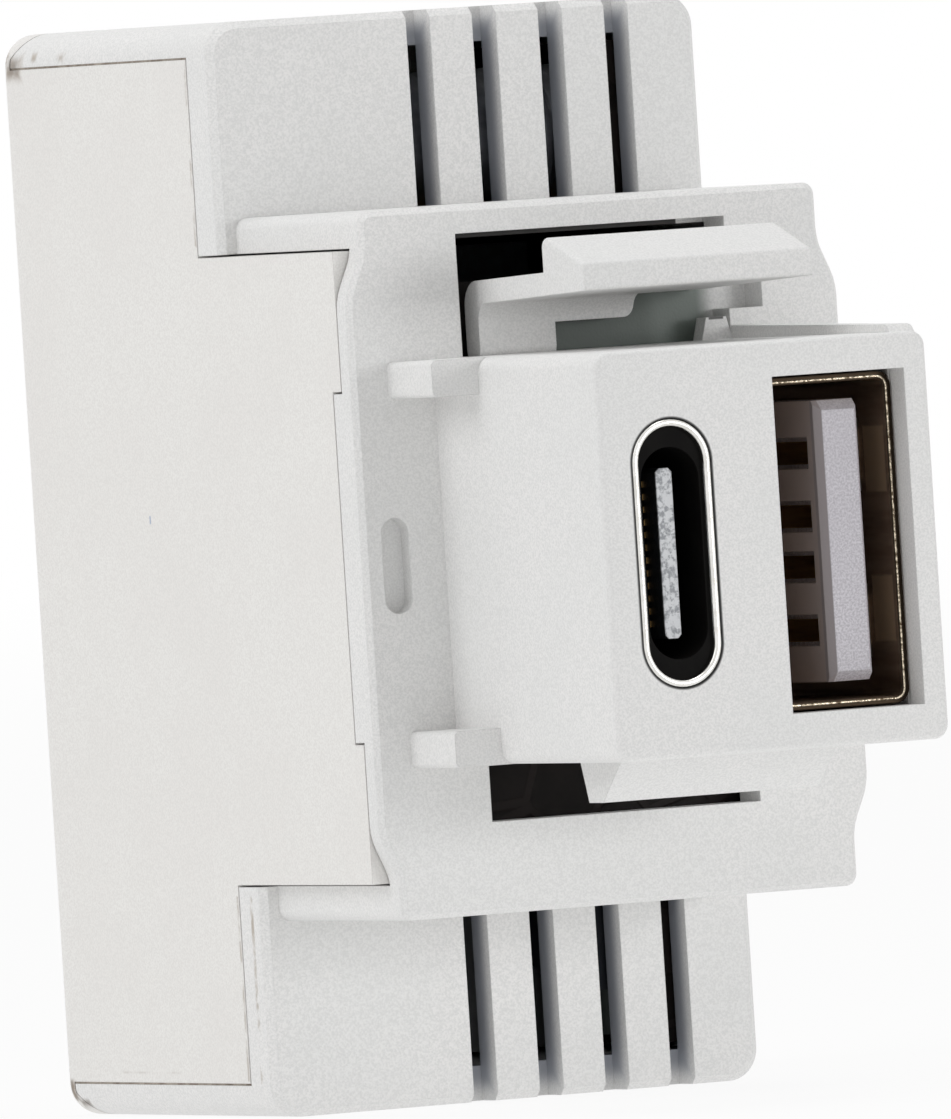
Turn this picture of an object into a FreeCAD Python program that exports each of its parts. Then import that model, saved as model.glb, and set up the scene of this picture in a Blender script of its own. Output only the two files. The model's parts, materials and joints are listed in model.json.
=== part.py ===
import FreeCAD, Part
import math
import os
import re

import Sketcher

# A mains charger module that snaps into a keystone opening of 14.9 by 16.3 mm.
# Millimetres. X is to the right seen from the front, Y runs from the front to
# the back, Z is up. The origin lies on the axis of the nose, in the plane of
# the stop lugs that rest against the back of the panel.

SIZES = {
    # flat plug's receptacle, upright, with its mouth in the nose
    "a_width": 5.7,
    "a_height": 13.1,
    "a_sheet": 0.3,
    "a_clearance": 0.08,
    "a_recess": 1.1,
    "a_tongue": 1.84,
    "a_tongue_gap": 0.7,
    "a_tongue_offset": 0.63,
    "a_tongue_recess": 0.45,
    "a_tongue_lead": 0.27,
    "a_tongue_soft": 0.12,
    "a_tongue_end": 0.4,
    "a_base": 3.0,
    "a_pocket": 1.25,
    "a_pocket_place": 0.9,
    "a_pocket_depth": 0.4,
    "a_contact": 0.9,
    "a_contact_sheet": 0.25,
    "a_contact_tail": 0.6,
    "a_outer_pitch": 7.0,
    "a_inner_pitch": 2.0,
    "a_finger_place": 2.4,
    "a_finger_length": 5.0,
    "a_finger_width": 2.0,
    "a_finger_slot": 0.45,
    "a_finger_bend": 0.2,
    # rounded plug's receptacle, upright, beside it
    "c_mouth_width": 2.56,
    "c_mouth_height": 8.34,
    "c_mouth_recess": 0.25,
    "c_mouth_depth": 7.0,
    "c_lip_side": 0.14,
    "c_lip_end": 0.8,
    "c_rim": 0.33,
    "c_rim_depth": 1.6,
    "c_rim_proud": 0.05,
    "c_lining": 0.1,
    "c_can_sheet": 0.2,
    "c_tongue": 0.7,
    "c_tongue_edge": 0.15,
    "c_tongue_recess": 0.75,
    "c_tongue_end": 0.475,
    "c_contact_width": 0.25,
    "c_contact_length": 3.6,
    "c_contact_place": 1.15,
    "c_contact_pitch": 0.5,
    "c_contact_count": 12,
    "c_contact_sheet": 0.05,
    # plastic of the nose around and between the ports
    "port_left": 1.365,
    "port_spacing": 2.995,
    "port_right": 1.14,
    "port_above": 1.5,
    "nose_reach": 10.1,
    "nose_corner": 0.6,
    "nose_edge": 0.25,
    "nose_wall": 1.1,
    "nose_face_wall": 1.2,
    # stop lugs beside the nose, its top rail and its lower fixed catch
    "lug_depth": 3.9,
    "lug_width": 2.05,
    "lug_height": 1.45,
    "lug_corner": 0.25,
    "rail_width": 1.3,
    "rail_rise": 0.55,
    "rail_drop": 0.25,
    "rail_setback": 0.3,
    "rail_round": 0.4,
    "panel_gap": 1.7,
    "catch_inset": 2.55,
    "catch_depth": 1.7,
    "catch_root": 3.65,
    "catch_tip": 1.2,
    "catch_lean": 0.6,
    # snap latch: a bent arm with a hook, cut free beside its leg
    "latch_inset": 2.25,
    "latch_reach": 5.25,
    "latch_under": 2.05,
    "latch_lift": 0.35,
    "latch_arm": 0.9,
    "latch_lip": 1.08,
    "latch_crest": 4.55,
    "latch_flat": 0.6,
    "latch_crest_round": 0.42,
    "latch_root": 1.15,
    "latch_root_inset": 0.2,
    "latch_root_right": 1.8,
    "latch_leg_right": -1.7,
    "latch_leg_height": 1.15,
    "latch_leg_round": 0.45,
    "latch_bend": 1.1,
    "latch_fillet": 0.75,
    "latch_soft": 0.16,
    "pivot_drop": 0.3,
    "pivot_gap": 0.08,
    # windows in the face of the block, above and below the nose
    "window_inset": 1.35,
    "window_height": 4.9,
    "window_frame": 1.1,
    "window_back": 0.3,
    "window_back_gap": 0.1,
    "window_back_height": 2.7,
    "side_window_width": 1.5,
    "side_window_sill": 1.2,
    "side_window_height": 1.9,
    "low_window_height": 2.35,
    "nub_base": 1.35,
    "nub_top": 0.9,
    "nub_height": 0.9,
    "nub_depth": 0.8,
    "recess_width": 1.2,
    "recess_height": 3.8,
    "recess_depth": 0.7,
    "recess_inset": 0.7,
    # block behind the nose, with the wider band that swells from its sides
    "block_depth": 11.0,
    "block_corner": 0.5,
    "block_edge": 0.22,
    "block_wall": 1.3,
    "band_swell": 0.75,
    "band_below_left": 2.5,
    "band_below_right": 3.15,
    "band_ramp": 1.7,
    "band_blend": 2.5,
    # rear box
    "box_width": 21.9,
    "box_height": 43.8,
    "box_depth": 19.5,
    "box_corner": 1.3,
    "box_back_edge": 1.3,
    "box_edge": 0.3,
    "wall": 1.4,
    "vent_width": 1.07,
    "vent_pitch": 2.97,
    "vent_margin": 3.0,
    "vent_count": 4,
    # L-shaped cover: left side plate with a forward tab, and the back wall
    "cover_thickness": 1.4,
    "cover_front_strip": 2.05,
    "cover_seam": 0.08,
    "tab_below": 1.5,
    "tab_inset": 1.05,
    "tab_jog": 0.75,
    "tab_jog_half": 7.0,
    "back_scarf": 1.1,
    "back_scarf_side": 0.95,
    "cover_rib": 1.0,
    "cover_rib_depth": 1.6,
    "cover_rib_length": 9.0,
    # circuit boards
    "board": 1.2,
    "port_board_gap": 0.35,
    "port_board_side_gap": 0.3,
    "port_board_end_gap": 1.75,
    "main_board_gap": 0.4,
    "main_board_post": 0.85,
    "main_board_margin": 0.3,
    "post_radius": 1.2,
    "post_pip": 0.6,
    "pip_gap": 0.05,
    "post_inset": 2.2,
    "pin": 0.5,
    "pin_pitch": 2.0,
    "pin_count": 5,
    "pin_reach": 1.5,
    "pin_knee": 1.2,
    # rows of parts inside the rear box, from the floor up
    "row_gap": 1.1,
    "part_gap": 0.5,
    "bulk_length": 12.0,
    "output_length": 9.5,
    "can_groove": 0.3,
    "can_groove_place": 1.6,
    "can_groove_width": 0.7,
    "can_rim": 0.35,
    "core_clear": 3.35,
    "core_depth": 6.0,
    "core_leg": 2.0,
    "core_base": 1.3,
    "core_yoke_share": 0.12,
    "core_middle_share": 0.265,
    "winding_build": 2.8,
    "winding_gap": 0.1,
    "former_tube": 0.5,
    "flange": 0.7,
    "winding_round": 1.4,
    # wound inductor behind the upper window
    "choke_radius": 3.0,
    "choke_length": 3.7,
    "choke_flange": 0.5,
    "choke_middle": 1.3,
    "choke_sunk": 0.12,
    "choke_gap": 0.25,
    # small parts on the boards
    "fuse_radius": 1.1,
    "fuse_length": 6.4,
    "disc_radius": 2.6,
    "disc_thickness": 1.8,
    "bridge_length": 6.4,
    "bridge_width": 5.0,
    "bridge_height": 2.4,
    "chip_length": 4.9,
    "chip_width": 3.9,
    "chip_height": 1.5,
    "chip_edge": 0.2,
    "chip_gap": 0.8,
    "opto_length": 2.7,
    "opto_width": 4.4,
    "opto_height": 2.1,
    "control_level": 5.5,
    "speck_length": 1.6,
    "speck_width": 0.8,
    "speck_height": 0.5,
    "speck_pitch": 1.9,
    "speck_row": 2.6,
    "speck_left": -6.4,
    "speck_level": -5.2,
    # mains terminals with push-in clamps at the back
    "terminal_width": 10.0,
    "terminal_height": 10.0,
    "terminal_depth": 8.2,
    "terminal_gap": 0.2,
    "entry_radius": 1.5,
    "entry_mouth": 2.1,
    "entry_funnel": 0.5,
    "entry_pitch": 5.0,
    "entry_depth": 6.0,
    "clamp_room": 3.0,
    "clamp_sheet": 0.35,
    "clamp_side": 0.5,
    "clamp_width": 2.4,
    "clamp_leaf_share": 0.7,
    "release_length": 2.4,
    "release_width": 1.0,
    "release_inset": 1.9,
}

# Places worked out from the sizes above. First the nose and its ports.
C_RIM_WIDTH = "(c_mouth_width + 2 * (c_lip_side + c_rim))"
C_RIM_HEIGHT = "(c_mouth_height + 2 * (c_lip_end + c_rim))"
NOSE_HALF = f"((port_left + {C_RIM_WIDTH} + port_spacing + a_width + port_right) / 2)"
NOSE_TOP = "(a_height / 2 + port_above)"
NOSE_FACE = "(-nose_reach)"
A_CENTRE = f"({NOSE_HALF} - port_right - a_width / 2)"
C_CENTRE = f"(-{NOSE_HALF} + port_left + {C_RIM_WIDTH} / 2)"
# The block and the latch's root in its face wall.
BLOCK_FACE = "lug_depth"
ROOT_FRONT = "(lug_depth + latch_root_inset)"
ROOT_BACK = "(lug_depth + latch_root_inset + latch_root)"
BLOCK_INSIDE = f"({ROOT_BACK} + window_back_gap + window_back)"
BLOCK_TOP = f"({NOSE_TOP} + window_height + window_frame)"
BLOCK_CEILING = f"({BLOCK_TOP} - block_wall)"
BLOCK_SIDE = "(box_width / 2 - band_swell)"
PIVOT_LEVEL = f"({NOSE_TOP} + latch_root / 2 - pivot_drop)"
PIVOT_Y = "(lug_depth + latch_root_inset + latch_root / 2)"
WINDOW_HALF = f"({NOSE_HALF} - window_inset)"
LATCH_HALF = f"({NOSE_HALF} - latch_inset)"
LATCH_UNDER = f"({NOSE_TOP} + latch_under)"
TAB_HALF = f"({BLOCK_TOP} - tab_below)"
# The rear box and the cover that closes it.
LEFT = "(-box_width / 2)"
RIGHT = "(box_width / 2)"
BOX_TOP = "(box_height / 2)"
BOX_FRONT = "(lug_depth + block_depth)"
BOX_INSIDE = "(lug_depth + block_depth + wall)"
BOX_BACK = "(lug_depth + block_depth + box_depth)"
BACK_WALL = "(lug_depth + block_depth + box_depth - wall)"
BOX_CEILING = "(box_height / 2 - wall)"
RIGHT_INSIDE = "(box_width / 2 - wall)"
COVER_INSIDE = "(-box_width / 2 + cover_thickness)"
COVER_FRONT = "(lug_depth + block_depth + cover_front_strip)"
# Boards: the port board stands behind the face, the main board along the right side.
PORT_BOARD_FRONT = f"({BLOCK_INSIDE} + port_board_gap)"
PORT_BOARD_BACK = f"({PORT_BOARD_FRONT} + board)"
BOARD_BACK = f"({RIGHT_INSIDE} - main_board_post)"
BOARD_FACE = f"({BOARD_BACK} - board)"
BOARD_FRONT = f"({PORT_BOARD_BACK} + main_board_gap)"
BOARD_STEP = f"({BOX_INSIDE} + main_board_margin)"
BOARD_REAR = f"({BACK_WALL} - main_board_margin)"
BOARD_HALF = f"({BOX_CEILING} - main_board_margin)"
# Rows inside the rear box: terminals on the floor, mains cans, transformer, output cans.
ROOM_DEPTH = "(box_depth - 2 * wall)"
TERMINAL_FLOOR = f"(-{BOX_CEILING} + terminal_gap)"
TERMINAL_LEVEL = f"({TERMINAL_FLOOR} + terminal_height / 2)"
BULK_RADIUS = f"(({ROOM_DEPTH} - 3 * part_gap) / 4)"
BULK_LEVEL = f"({TERMINAL_FLOOR} + terminal_height + row_gap + {BULK_RADIUS})"
OUTPUT_RADIUS = f"(({ROOM_DEPTH} - opto_length - 4 * part_gap) / 4)"
OUTPUT_LEVEL = f"({BOX_CEILING} - row_gap - {OUTPUT_RADIUS})"
CORE_LOW = f"({BULK_LEVEL} + {BULK_RADIUS} + row_gap)"
CORE_HIGH = f"({OUTPUT_LEVEL} - {OUTPUT_RADIUS} - row_gap)"
CORE_HEIGHT = f"({CORE_HIGH} - {CORE_LOW})"
CORE_LEVEL = f"(({CORE_HIGH} + {CORE_LOW}) / 2)"
CORE_Y = f"(({BOX_INSIDE} + {BACK_WALL}) / 2)"

# How near two places have to be to count as the same, how far a cutting shape
# runs past what it cuts, and how far a fused shape reaches into its neighbour.
NEAR = 1e-3
PAST = "1"
SEAT = "0.1"

doc = FreeCAD.newDocument("charger_module")
sheet = doc.addObject("Spreadsheet::Sheet", "sizes")
nodes = []


def fill_sheet():
    """Write every driving size as a named cell of the sheet."""
    for row, (alias, number) in enumerate(SIZES.items(), start=1):
        sheet.set(f"A{row}", alias)
        sheet.set(f"B{row}", str(number))
        sheet.setAlias(f"B{row}", alias)
    doc.recompute()


def size(alias):
    """The number that the sheet holds for a size."""
    return float(sheet.get(alias))


def bind(item, prop, text):
    """Tie a property to the sheet; plain size names in the text become its cells."""

    def as_cell(match):
        word = match.group()
        return f"sizes.{word}" if word in SIZES else word

    item.setExpression(prop, re.sub(r"[a-z_]+", as_cell, text))


def box(name, x, y, z):
    """A box between three pairs of places."""
    item = doc.addObject("Part::Box", name)
    for side, axis, (low, high) in zip(("Length", "Width", "Height"), "xyz", (x, y, z)):
        bind(item, side, f"({high}) - ({low})")
        bind(item, f"Placement.Base.{axis}", low)
    return item


def turn_to(item, axis):
    """Lay something that was made along Z along another axis."""
    if axis == "x":
        item.Placement.Rotation = FreeCAD.Rotation(FreeCAD.Vector(0, 1, 0), 90)
    if axis == "y":
        item.Placement.Rotation = FreeCAD.Rotation(FreeCAD.Vector(1, 0, 0), -90)


def rod(name, axis, radius, place, span):
    """A cylinder along an axis; place gives its other two coordinates in X, Y, Z order."""
    item = doc.addObject("Part::Cylinder", name)
    turn_to(item, axis)
    bind(item, "Radius", radius)
    bind(item, "Height", f"({span[1]}) - ({span[0]})")
    bind(item, f"Placement.Base.{axis}", span[0])
    others = [letter for letter in "xyz" if letter != axis]
    for letter, where in zip(others, place):
        bind(item, f"Placement.Base.{letter}", where)
    return item


def funnel(name, radius_front, radius_back, place, span):
    """A cone along Y, from the first radius at the front to the second at the back."""
    item = doc.addObject("Part::Cone", name)
    turn_to(item, "y")
    bind(item, "Radius1", radius_front)
    bind(item, "Radius2", radius_back)
    bind(item, "Height", f"({span[1]}) - ({span[0]})")
    bind(item, "Placement.Base.x", place[0])
    bind(item, "Placement.Base.y", span[0])
    bind(item, "Placement.Base.z", place[1])
    return item


def closed_sketch(body, name, plane, outline):
    """A sketch on one of the body's planes: straight lines through bound corners."""
    sketch = body.newObject("Sketcher::SketchObject", name)
    base = next(f for f in body.Origin.OriginFeatures if f.Role == f"{plane}_Plane")
    sketch.AttachmentSupport = (base, "")
    sketch.MapMode = "FlatFace"
    count = len(outline)
    turns = [2 * math.pi * k / count for k in range(count)]
    ring = [FreeCAD.Vector(math.cos(turn), math.sin(turn), 0) for turn in turns]
    for k in range(count):
        sketch.addGeometry(Part.LineSegment(ring[k], ring[(k + 1) % count]))
    for k in range(count):
        sketch.addConstraint(Sketcher.Constraint("Coincident", k, 2, (k + 1) % count, 1))
    for k, point in enumerate(outline):
        for kind, where, now in zip(("DistanceX", "DistanceY"), point, (ring[k].x, ring[k].y)):
            index = sketch.addConstraint(Sketcher.Constraint(kind, -1, 1, k, 1, now))
            sketch.renameConstraint(index, f"{kind}{k}")
            bind(sketch, f"Constraints.{kind}{k}", where)
    return sketch


def prism(name, plane, outline, span):
    """A padded sketch: a closed outline in a plane, run between two places across it."""
    body = doc.addObject("PartDesign::Body", f"{name}_body")
    sketch = closed_sketch(body, f"{name}_sketch", plane, outline)
    # The sketch's normal is -Y on the XZ plane, so there the pad starts at the far end.
    start = f"-({span[1]})" if plane == "XZ" else span[0]
    bind(sketch, "AttachmentOffset.Base.z", start)
    pad = body.newObject("PartDesign::Pad", f"{name}_pad")
    pad.Profile = sketch
    bind(pad, "Length", f"({span[1]}) - ({span[0]})")
    doc.recompute()
    return body


def turned(name, profile, place):
    """A revolved sketch about a line along X; the profile holds places along it and radii."""
    body = doc.addObject("PartDesign::Body", f"{name}_body")
    sketch = closed_sketch(body, f"{name}_sketch", "XY", profile)
    turn = body.newObject("PartDesign::Revolution", f"{name}_turn")
    turn.Profile = sketch
    turn.ReferenceAxis = (sketch, ["H_Axis"])
    turn.Angle = 360
    bind(body, "Placement.Base.y", place[0])
    bind(body, "Placement.Base.z", place[1])
    doc.recompute()
    return body


def fuse(name, *items):
    item = doc.addObject("Part::MultiFuse", name)
    item.Shapes = list(items)
    return item


def cut(name, base, *tools):
    """The base without the tools."""
    item = doc.addObject("Part::Cut", name)
    item.Base = base
    item.Tool = tools[0] if len(tools) == 1 else fuse(f"{name}_tools", *tools)
    return item


def common(name, *items):
    item = doc.addObject("Part::MultiCommon", name)
    item.Shapes = list(items)
    return item


def group(name, *items):
    item = doc.addObject("Part::Compound", name)
    item.Links = list(items)
    return item


def dressed(kind, name, base, amount, wanted):
    """Round or bevel the edges of a shape that the test picks."""
    doc.recompute()
    item = doc.addObject(kind, name)
    item.Base = base
    picked = [k for k, edge in enumerate(base.Shape.Edges, start=1) if wanted(edge)]
    item.Edges = [(k, amount, amount) for k in picked]
    doc.recompute()
    return item


def rounded(name, base, radius, wanted):
    return dressed("Part::Fillet", name, base, radius, wanted)


def bevelled(name, base, width, wanted):
    return dressed("Part::Chamfer", name, base, width, wanted)


def runs_along(edge, axis):
    """True for a straight edge that runs along an axis."""
    bounds = edge.BoundBox
    lengths = {"x": bounds.XLength, "y": bounds.YLength, "z": bounds.ZLength}
    return all((lengths[letter] > NEAR / 10) == (letter == axis) for letter in "xyz")


def lies_at(edge, axis, place):
    """True for an edge that lies in the plane at a place on an axis."""
    bounds = edge.BoundBox
    low, high = {
        "x": (bounds.XMin, bounds.XMax),
        "y": (bounds.YMin, bounds.YMax),
        "z": (bounds.ZMin, bounds.ZMax),
    }[axis]
    return abs(low - place) < NEAR and abs(high - place) < NEAR


def centre_of(edge):
    return edge.BoundBox.Center


def end_of(item, axis, side):
    """Where a built shape ends on an axis; side is Min or Max."""
    return getattr(item.Shape.BoundBox, f"{axis.upper()}{side}")


def stadium(name, middle, width, height, span, level="0"):
    """An upright slot shape with round ends, run along Y."""
    reach = f"(({height}) - ({width})) / 2"
    half = f"({width}) / 2"
    straight = box(
        f"{name}_straight",
        (f"{middle} - {half}", f"{middle} + {half}"),
        span,
        (f"{level} - {reach}", f"{level} + {reach}"),
    )
    top = rod(f"{name}_top", "y", half, (middle, f"{level} + {reach}"), span)
    foot = rod(f"{name}_foot", "y", half, (middle, f"{level} - {reach}"), span)
    return fuse(name, straight, top, foot)


def node(item, label):
    """Keep a finished piece under its own name."""
    item.Label = label
    nodes.append(item)


def rear_box():
    """The deep box behind the block: rounded along its length and round its back."""
    plain = box("box_plain", (LEFT, RIGHT), (BOX_FRONT, BOX_BACK), (f"-{BOX_TOP}", BOX_TOP))
    sides = rounded("box_sides", plain, size("box_corner"), lambda e: runs_along(e, "y"))
    back = end_of(plain, "y", "Max")
    front = end_of(plain, "y", "Min")
    soft = rounded("box_soft", sides, size("box_back_edge"), lambda e: lies_at(e, "y", back))
    return bevelled("box_shape", soft, size("box_edge"), lambda e: lies_at(e, "y", front))


def block():
    """The block in front of the box: narrow above and below, swelling to the full width."""
    half_ramp = "band_ramp / 2"
    left_middle = f"{BLOCK_TOP} - band_below_left"
    right_middle = f"{BLOCK_TOP} - band_below_right"
    upper_left = [
        (f"-{BLOCK_SIDE}", BLOCK_TOP),
        (f"-{BLOCK_SIDE}", f"{left_middle} + {half_ramp}"),
        (LEFT, f"{left_middle} - {half_ramp}"),
    ]
    upper_right = [
        (RIGHT, f"{right_middle} - {half_ramp}"),
        (BLOCK_SIDE, f"{right_middle} + {half_ramp}"),
        (BLOCK_SIDE, BLOCK_TOP),
    ]
    lower_left = [(u, f"-({v})") for u, v in reversed(upper_left)]
    lower_right = [(u, f"-({v})") for u, v in reversed(upper_right)]
    outline = upper_left + lower_left + lower_right + upper_right
    plain = prism("block_plain", "XZ", outline, (BLOCK_FACE, BOX_INSIDE))
    top = end_of(plain, "z", "Max")
    face = end_of(plain, "y", "Min")

    def is_corner(edge):
        return runs_along(edge, "y") and abs(abs(centre_of(edge).z) - top) < NEAR

    def is_ramp(edge):
        return runs_along(edge, "y") and abs(centre_of(edge).z) < top - size("block_corner")

    swell = rounded("block_swell", plain, size("band_blend"), is_ramp)
    corners = rounded("block_corners", swell, size("block_corner"), is_corner)
    return bevelled("block_shape", corners, size("block_edge"), lambda e: lies_at(e, "y", face))


def stop_lug(name, left, top):
    """One of the four lugs beside the nose that rest against the back of the panel."""
    outer = f"({NOSE_HALF} + lug_width)"
    inner = f"({NOSE_HALF} - nose_corner)"
    x = (f"-{outer}", f"-{inner}") if left else (inner, outer)
    low = f"({NOSE_TOP} - lug_height)"
    z = (low, NOSE_TOP) if top else (f"-{NOSE_TOP}", f"-{low}")
    plain = box(name, x, ("0", BLOCK_INSIDE), z)
    doc.recompute()
    side = end_of(plain, "x", "Min" if left else "Max")

    def is_outer(edge):
        return runs_along(edge, "y") and abs(centre_of(edge).x - side) < NEAR

    return rounded(f"{name}_soft", plain, size("lug_corner"), is_outer)


def nose():
    """The nose that shows in the panel, with its top rail, stop lugs and fixed lower catch."""
    plain = box(
        "nose_plain",
        (f"-{NOSE_HALF}", NOSE_HALF),
        (NOSE_FACE, BLOCK_INSIDE),
        (f"-{NOSE_TOP}", NOSE_TOP),
    )
    sides = rounded("nose_sides", plain, size("nose_corner"), lambda e: runs_along(e, "y"))
    face = end_of(plain, "y", "Min")
    soft = rounded("nose_soft", sides, size("nose_edge"), lambda e: lies_at(e, "y", face))
    rail_front = f"({NOSE_FACE} + rail_setback)"
    rail_outline = [
        (BLOCK_INSIDE, "0"),
        (BLOCK_INSIDE, f"{NOSE_TOP} + rail_rise"),
        (f"{rail_front} + rail_rise", f"{NOSE_TOP} + rail_rise - rail_drop"),
        (rail_front, f"{NOSE_TOP} - nose_corner / 2"),
        (rail_front, "0"),
    ]
    rail_plain = prism("rail_plain", "YZ", rail_outline, (f"{NOSE_HALF} - rail_width", NOSE_HALF))
    rail_side = end_of(rail_plain, "x", "Max")
    nose_top = end_of(plain, "z", "Max")

    def is_outer_top(edge):
        middle = centre_of(edge)
        return abs(middle.x - rail_side) < NEAR and middle.z > nose_top

    rail = rounded("rail", rail_plain, size("rail_round"), is_outer_top)
    catch_outline = [
        ("-panel_gap - catch_root", f"-{NOSE_TOP} + nose_corner"),
        ("-panel_gap - catch_root", f"-{NOSE_TOP}"),
        ("-panel_gap - catch_lean - catch_tip", f"-{NOSE_TOP} - catch_depth"),
        ("-panel_gap - catch_lean", f"-{NOSE_TOP} - catch_depth"),
        ("-panel_gap", f"-{NOSE_TOP}"),
        ("-panel_gap", f"-{NOSE_TOP} + nose_corner"),
    ]
    catch_half = f"({NOSE_HALF} - catch_inset)"
    catch = prism("lower_catch", "YZ", catch_outline, (f"-{catch_half}", catch_half))
    lugs = [
        stop_lug("lug_left_top", True, True),
        stop_lug("lug_left_foot", True, False),
        stop_lug("lug_right_top", False, True),
        stop_lug("lug_right_foot", False, False),
    ]
    return fuse("nose_shape", soft, rail, catch, *lugs)


def cover_regions(name, gap):
    """The room that the cover takes: side plate, forward tab and back wall."""
    outside = f"({LEFT} - {PAST})"
    plate = box(
        f"{name}_plate",
        (outside, COVER_INSIDE),
        (f"{COVER_FRONT} - {gap}", f"{BOX_BACK} + {PAST}"),
        (f"-{BOX_CEILING} - {gap}", f"{BOX_CEILING} + {gap}"),
    )
    tab_front = f"({BLOCK_FACE} + tab_inset - {gap})"
    tab = box(
        f"{name}_tab",
        (LEFT, COVER_INSIDE),
        (tab_front, f"{COVER_FRONT} + wall"),
        (f"-{TAB_HALF} - {gap}", f"{TAB_HALF} + {gap}"),
    )
    jog = box(
        f"{name}_jog",
        (outside, f"{COVER_INSIDE} + {PAST}"),
        (f"{tab_front} - {PAST}", f"{tab_front} + tab_jog"),
        (f"-tab_jog_half + {gap}", f"tab_jog_half - {gap}"),
    )
    # The back wall meets the housing in a seam that leans outwards past the corner.
    inner = f"({BACK_WALL} - {gap})"
    outer_level = f"({BOX_TOP} + back_scarf_side)"
    inner_level = f"({BOX_TOP} - back_scarf_side)"
    outline = [
        (f"{inner} - 2 * back_scarf", outer_level),
        (inner, inner_level),
        (inner, f"-{inner_level}"),
        (f"{inner} - 2 * back_scarf", f"-{outer_level}"),
        (f"{BOX_BACK} + {PAST}", f"-{outer_level}"),
        (f"{BOX_BACK} + {PAST}", outer_level),
    ]
    back = prism(f"{name}_back", "YZ", outline, (outside, f"{RIGHT} + {PAST}"))
    return plate, cut(f"{name}_tab_shape", tab, jog), back


def vents():
    """Upright slots through the front of the rear box, above and below the block."""
    slots = []
    for k in range(int(size("vent_count"))):
        right = f"({RIGHT} - vent_margin - {k} * vent_pitch)"
        x = (f"{right} - vent_width", right)
        y = (f"{BOX_FRONT} - {PAST}", BOX_INSIDE)
        slots.append(box(f"vent_upper_{k}", x, y, (BLOCK_TOP, f"{BOX_TOP} + {PAST}")))
        slots.append(box(f"vent_lower_{k}", x, y, (f"-{BOX_TOP} - {PAST}", f"-{BLOCK_TOP}")))
    return slots


def windows():
    """Openings in the face of the block and the small recess beside the nose."""
    y = (f"{BLOCK_FACE} - {PAST}", f"{BLOCK_INSIDE} + {SEAT}")
    x = (f"-{WINDOW_HALF}", WINDOW_HALF)
    upper = box("window_upper", x, y, (NOSE_TOP, f"{NOSE_TOP} + window_height"))
    sill = f"({NOSE_TOP} + side_window_sill)"
    side = box(
        "window_side",
        (f"{WINDOW_HALF} - {SEAT}", f"{WINDOW_HALF} + side_window_width"),
        y,
        (sill, f"{sill} + side_window_height"),
    )
    lower = box("window_lower", x, y, (f"-{NOSE_TOP} - low_window_height", f"-{NOSE_TOP}"))
    recess = stadium(
        "side_recess",
        f"(-{BLOCK_SIDE} + recess_inset)",
        "recess_width",
        "recess_height",
        (f"{BLOCK_FACE} - {PAST}", f"{BLOCK_FACE} + recess_depth"),
    )
    return upper, side, lower, recess


def window_fittings():
    """The thin wall behind the latch's arm, and the small nub at the foot of the window."""
    wall_behind = box(
        "window_back_wall",
        (f"latch_leg_right + {SEAT}", f"{BLOCK_SIDE} - block_wall + {SEAT}"),
        (f"{BLOCK_INSIDE} - window_back", BLOCK_INSIDE),
        (f"{NOSE_TOP} - nose_wall / 2", f"{NOSE_TOP} + window_back_height"),
    )
    middle = f"({NOSE_HALF} - rail_width - nub_base / 2)"
    outline = [
        (f"{middle} - nub_base / 2", f"{NOSE_TOP} - nose_wall / 2"),
        (f"{middle} + nub_base / 2", f"{NOSE_TOP} - nose_wall / 2"),
        (f"{middle} + nub_base / 2", NOSE_TOP),
        (f"{middle} + nub_top / 2", f"{NOSE_TOP} + nub_height"),
        (f"{middle} - nub_top / 2", f"{NOSE_TOP} + nub_height"),
        (f"{middle} - nub_base / 2", NOSE_TOP),
    ]
    nub = prism("window_nub", "XZ", outline, (BLOCK_FACE, f"{BLOCK_FACE} + nub_depth"))
    return wall_behind, nub


def board_posts():
    """Where the main board stands on its posts: Y and Z of each."""
    near = f"({BOARD_STEP} + post_inset)"
    far = f"({BOARD_REAR} - post_inset)"
    high = f"({BOARD_HALF} - post_inset)"
    return [(near, high), (far, high), (near, f"(-{high})"), (far, f"(-{high})")]


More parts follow.
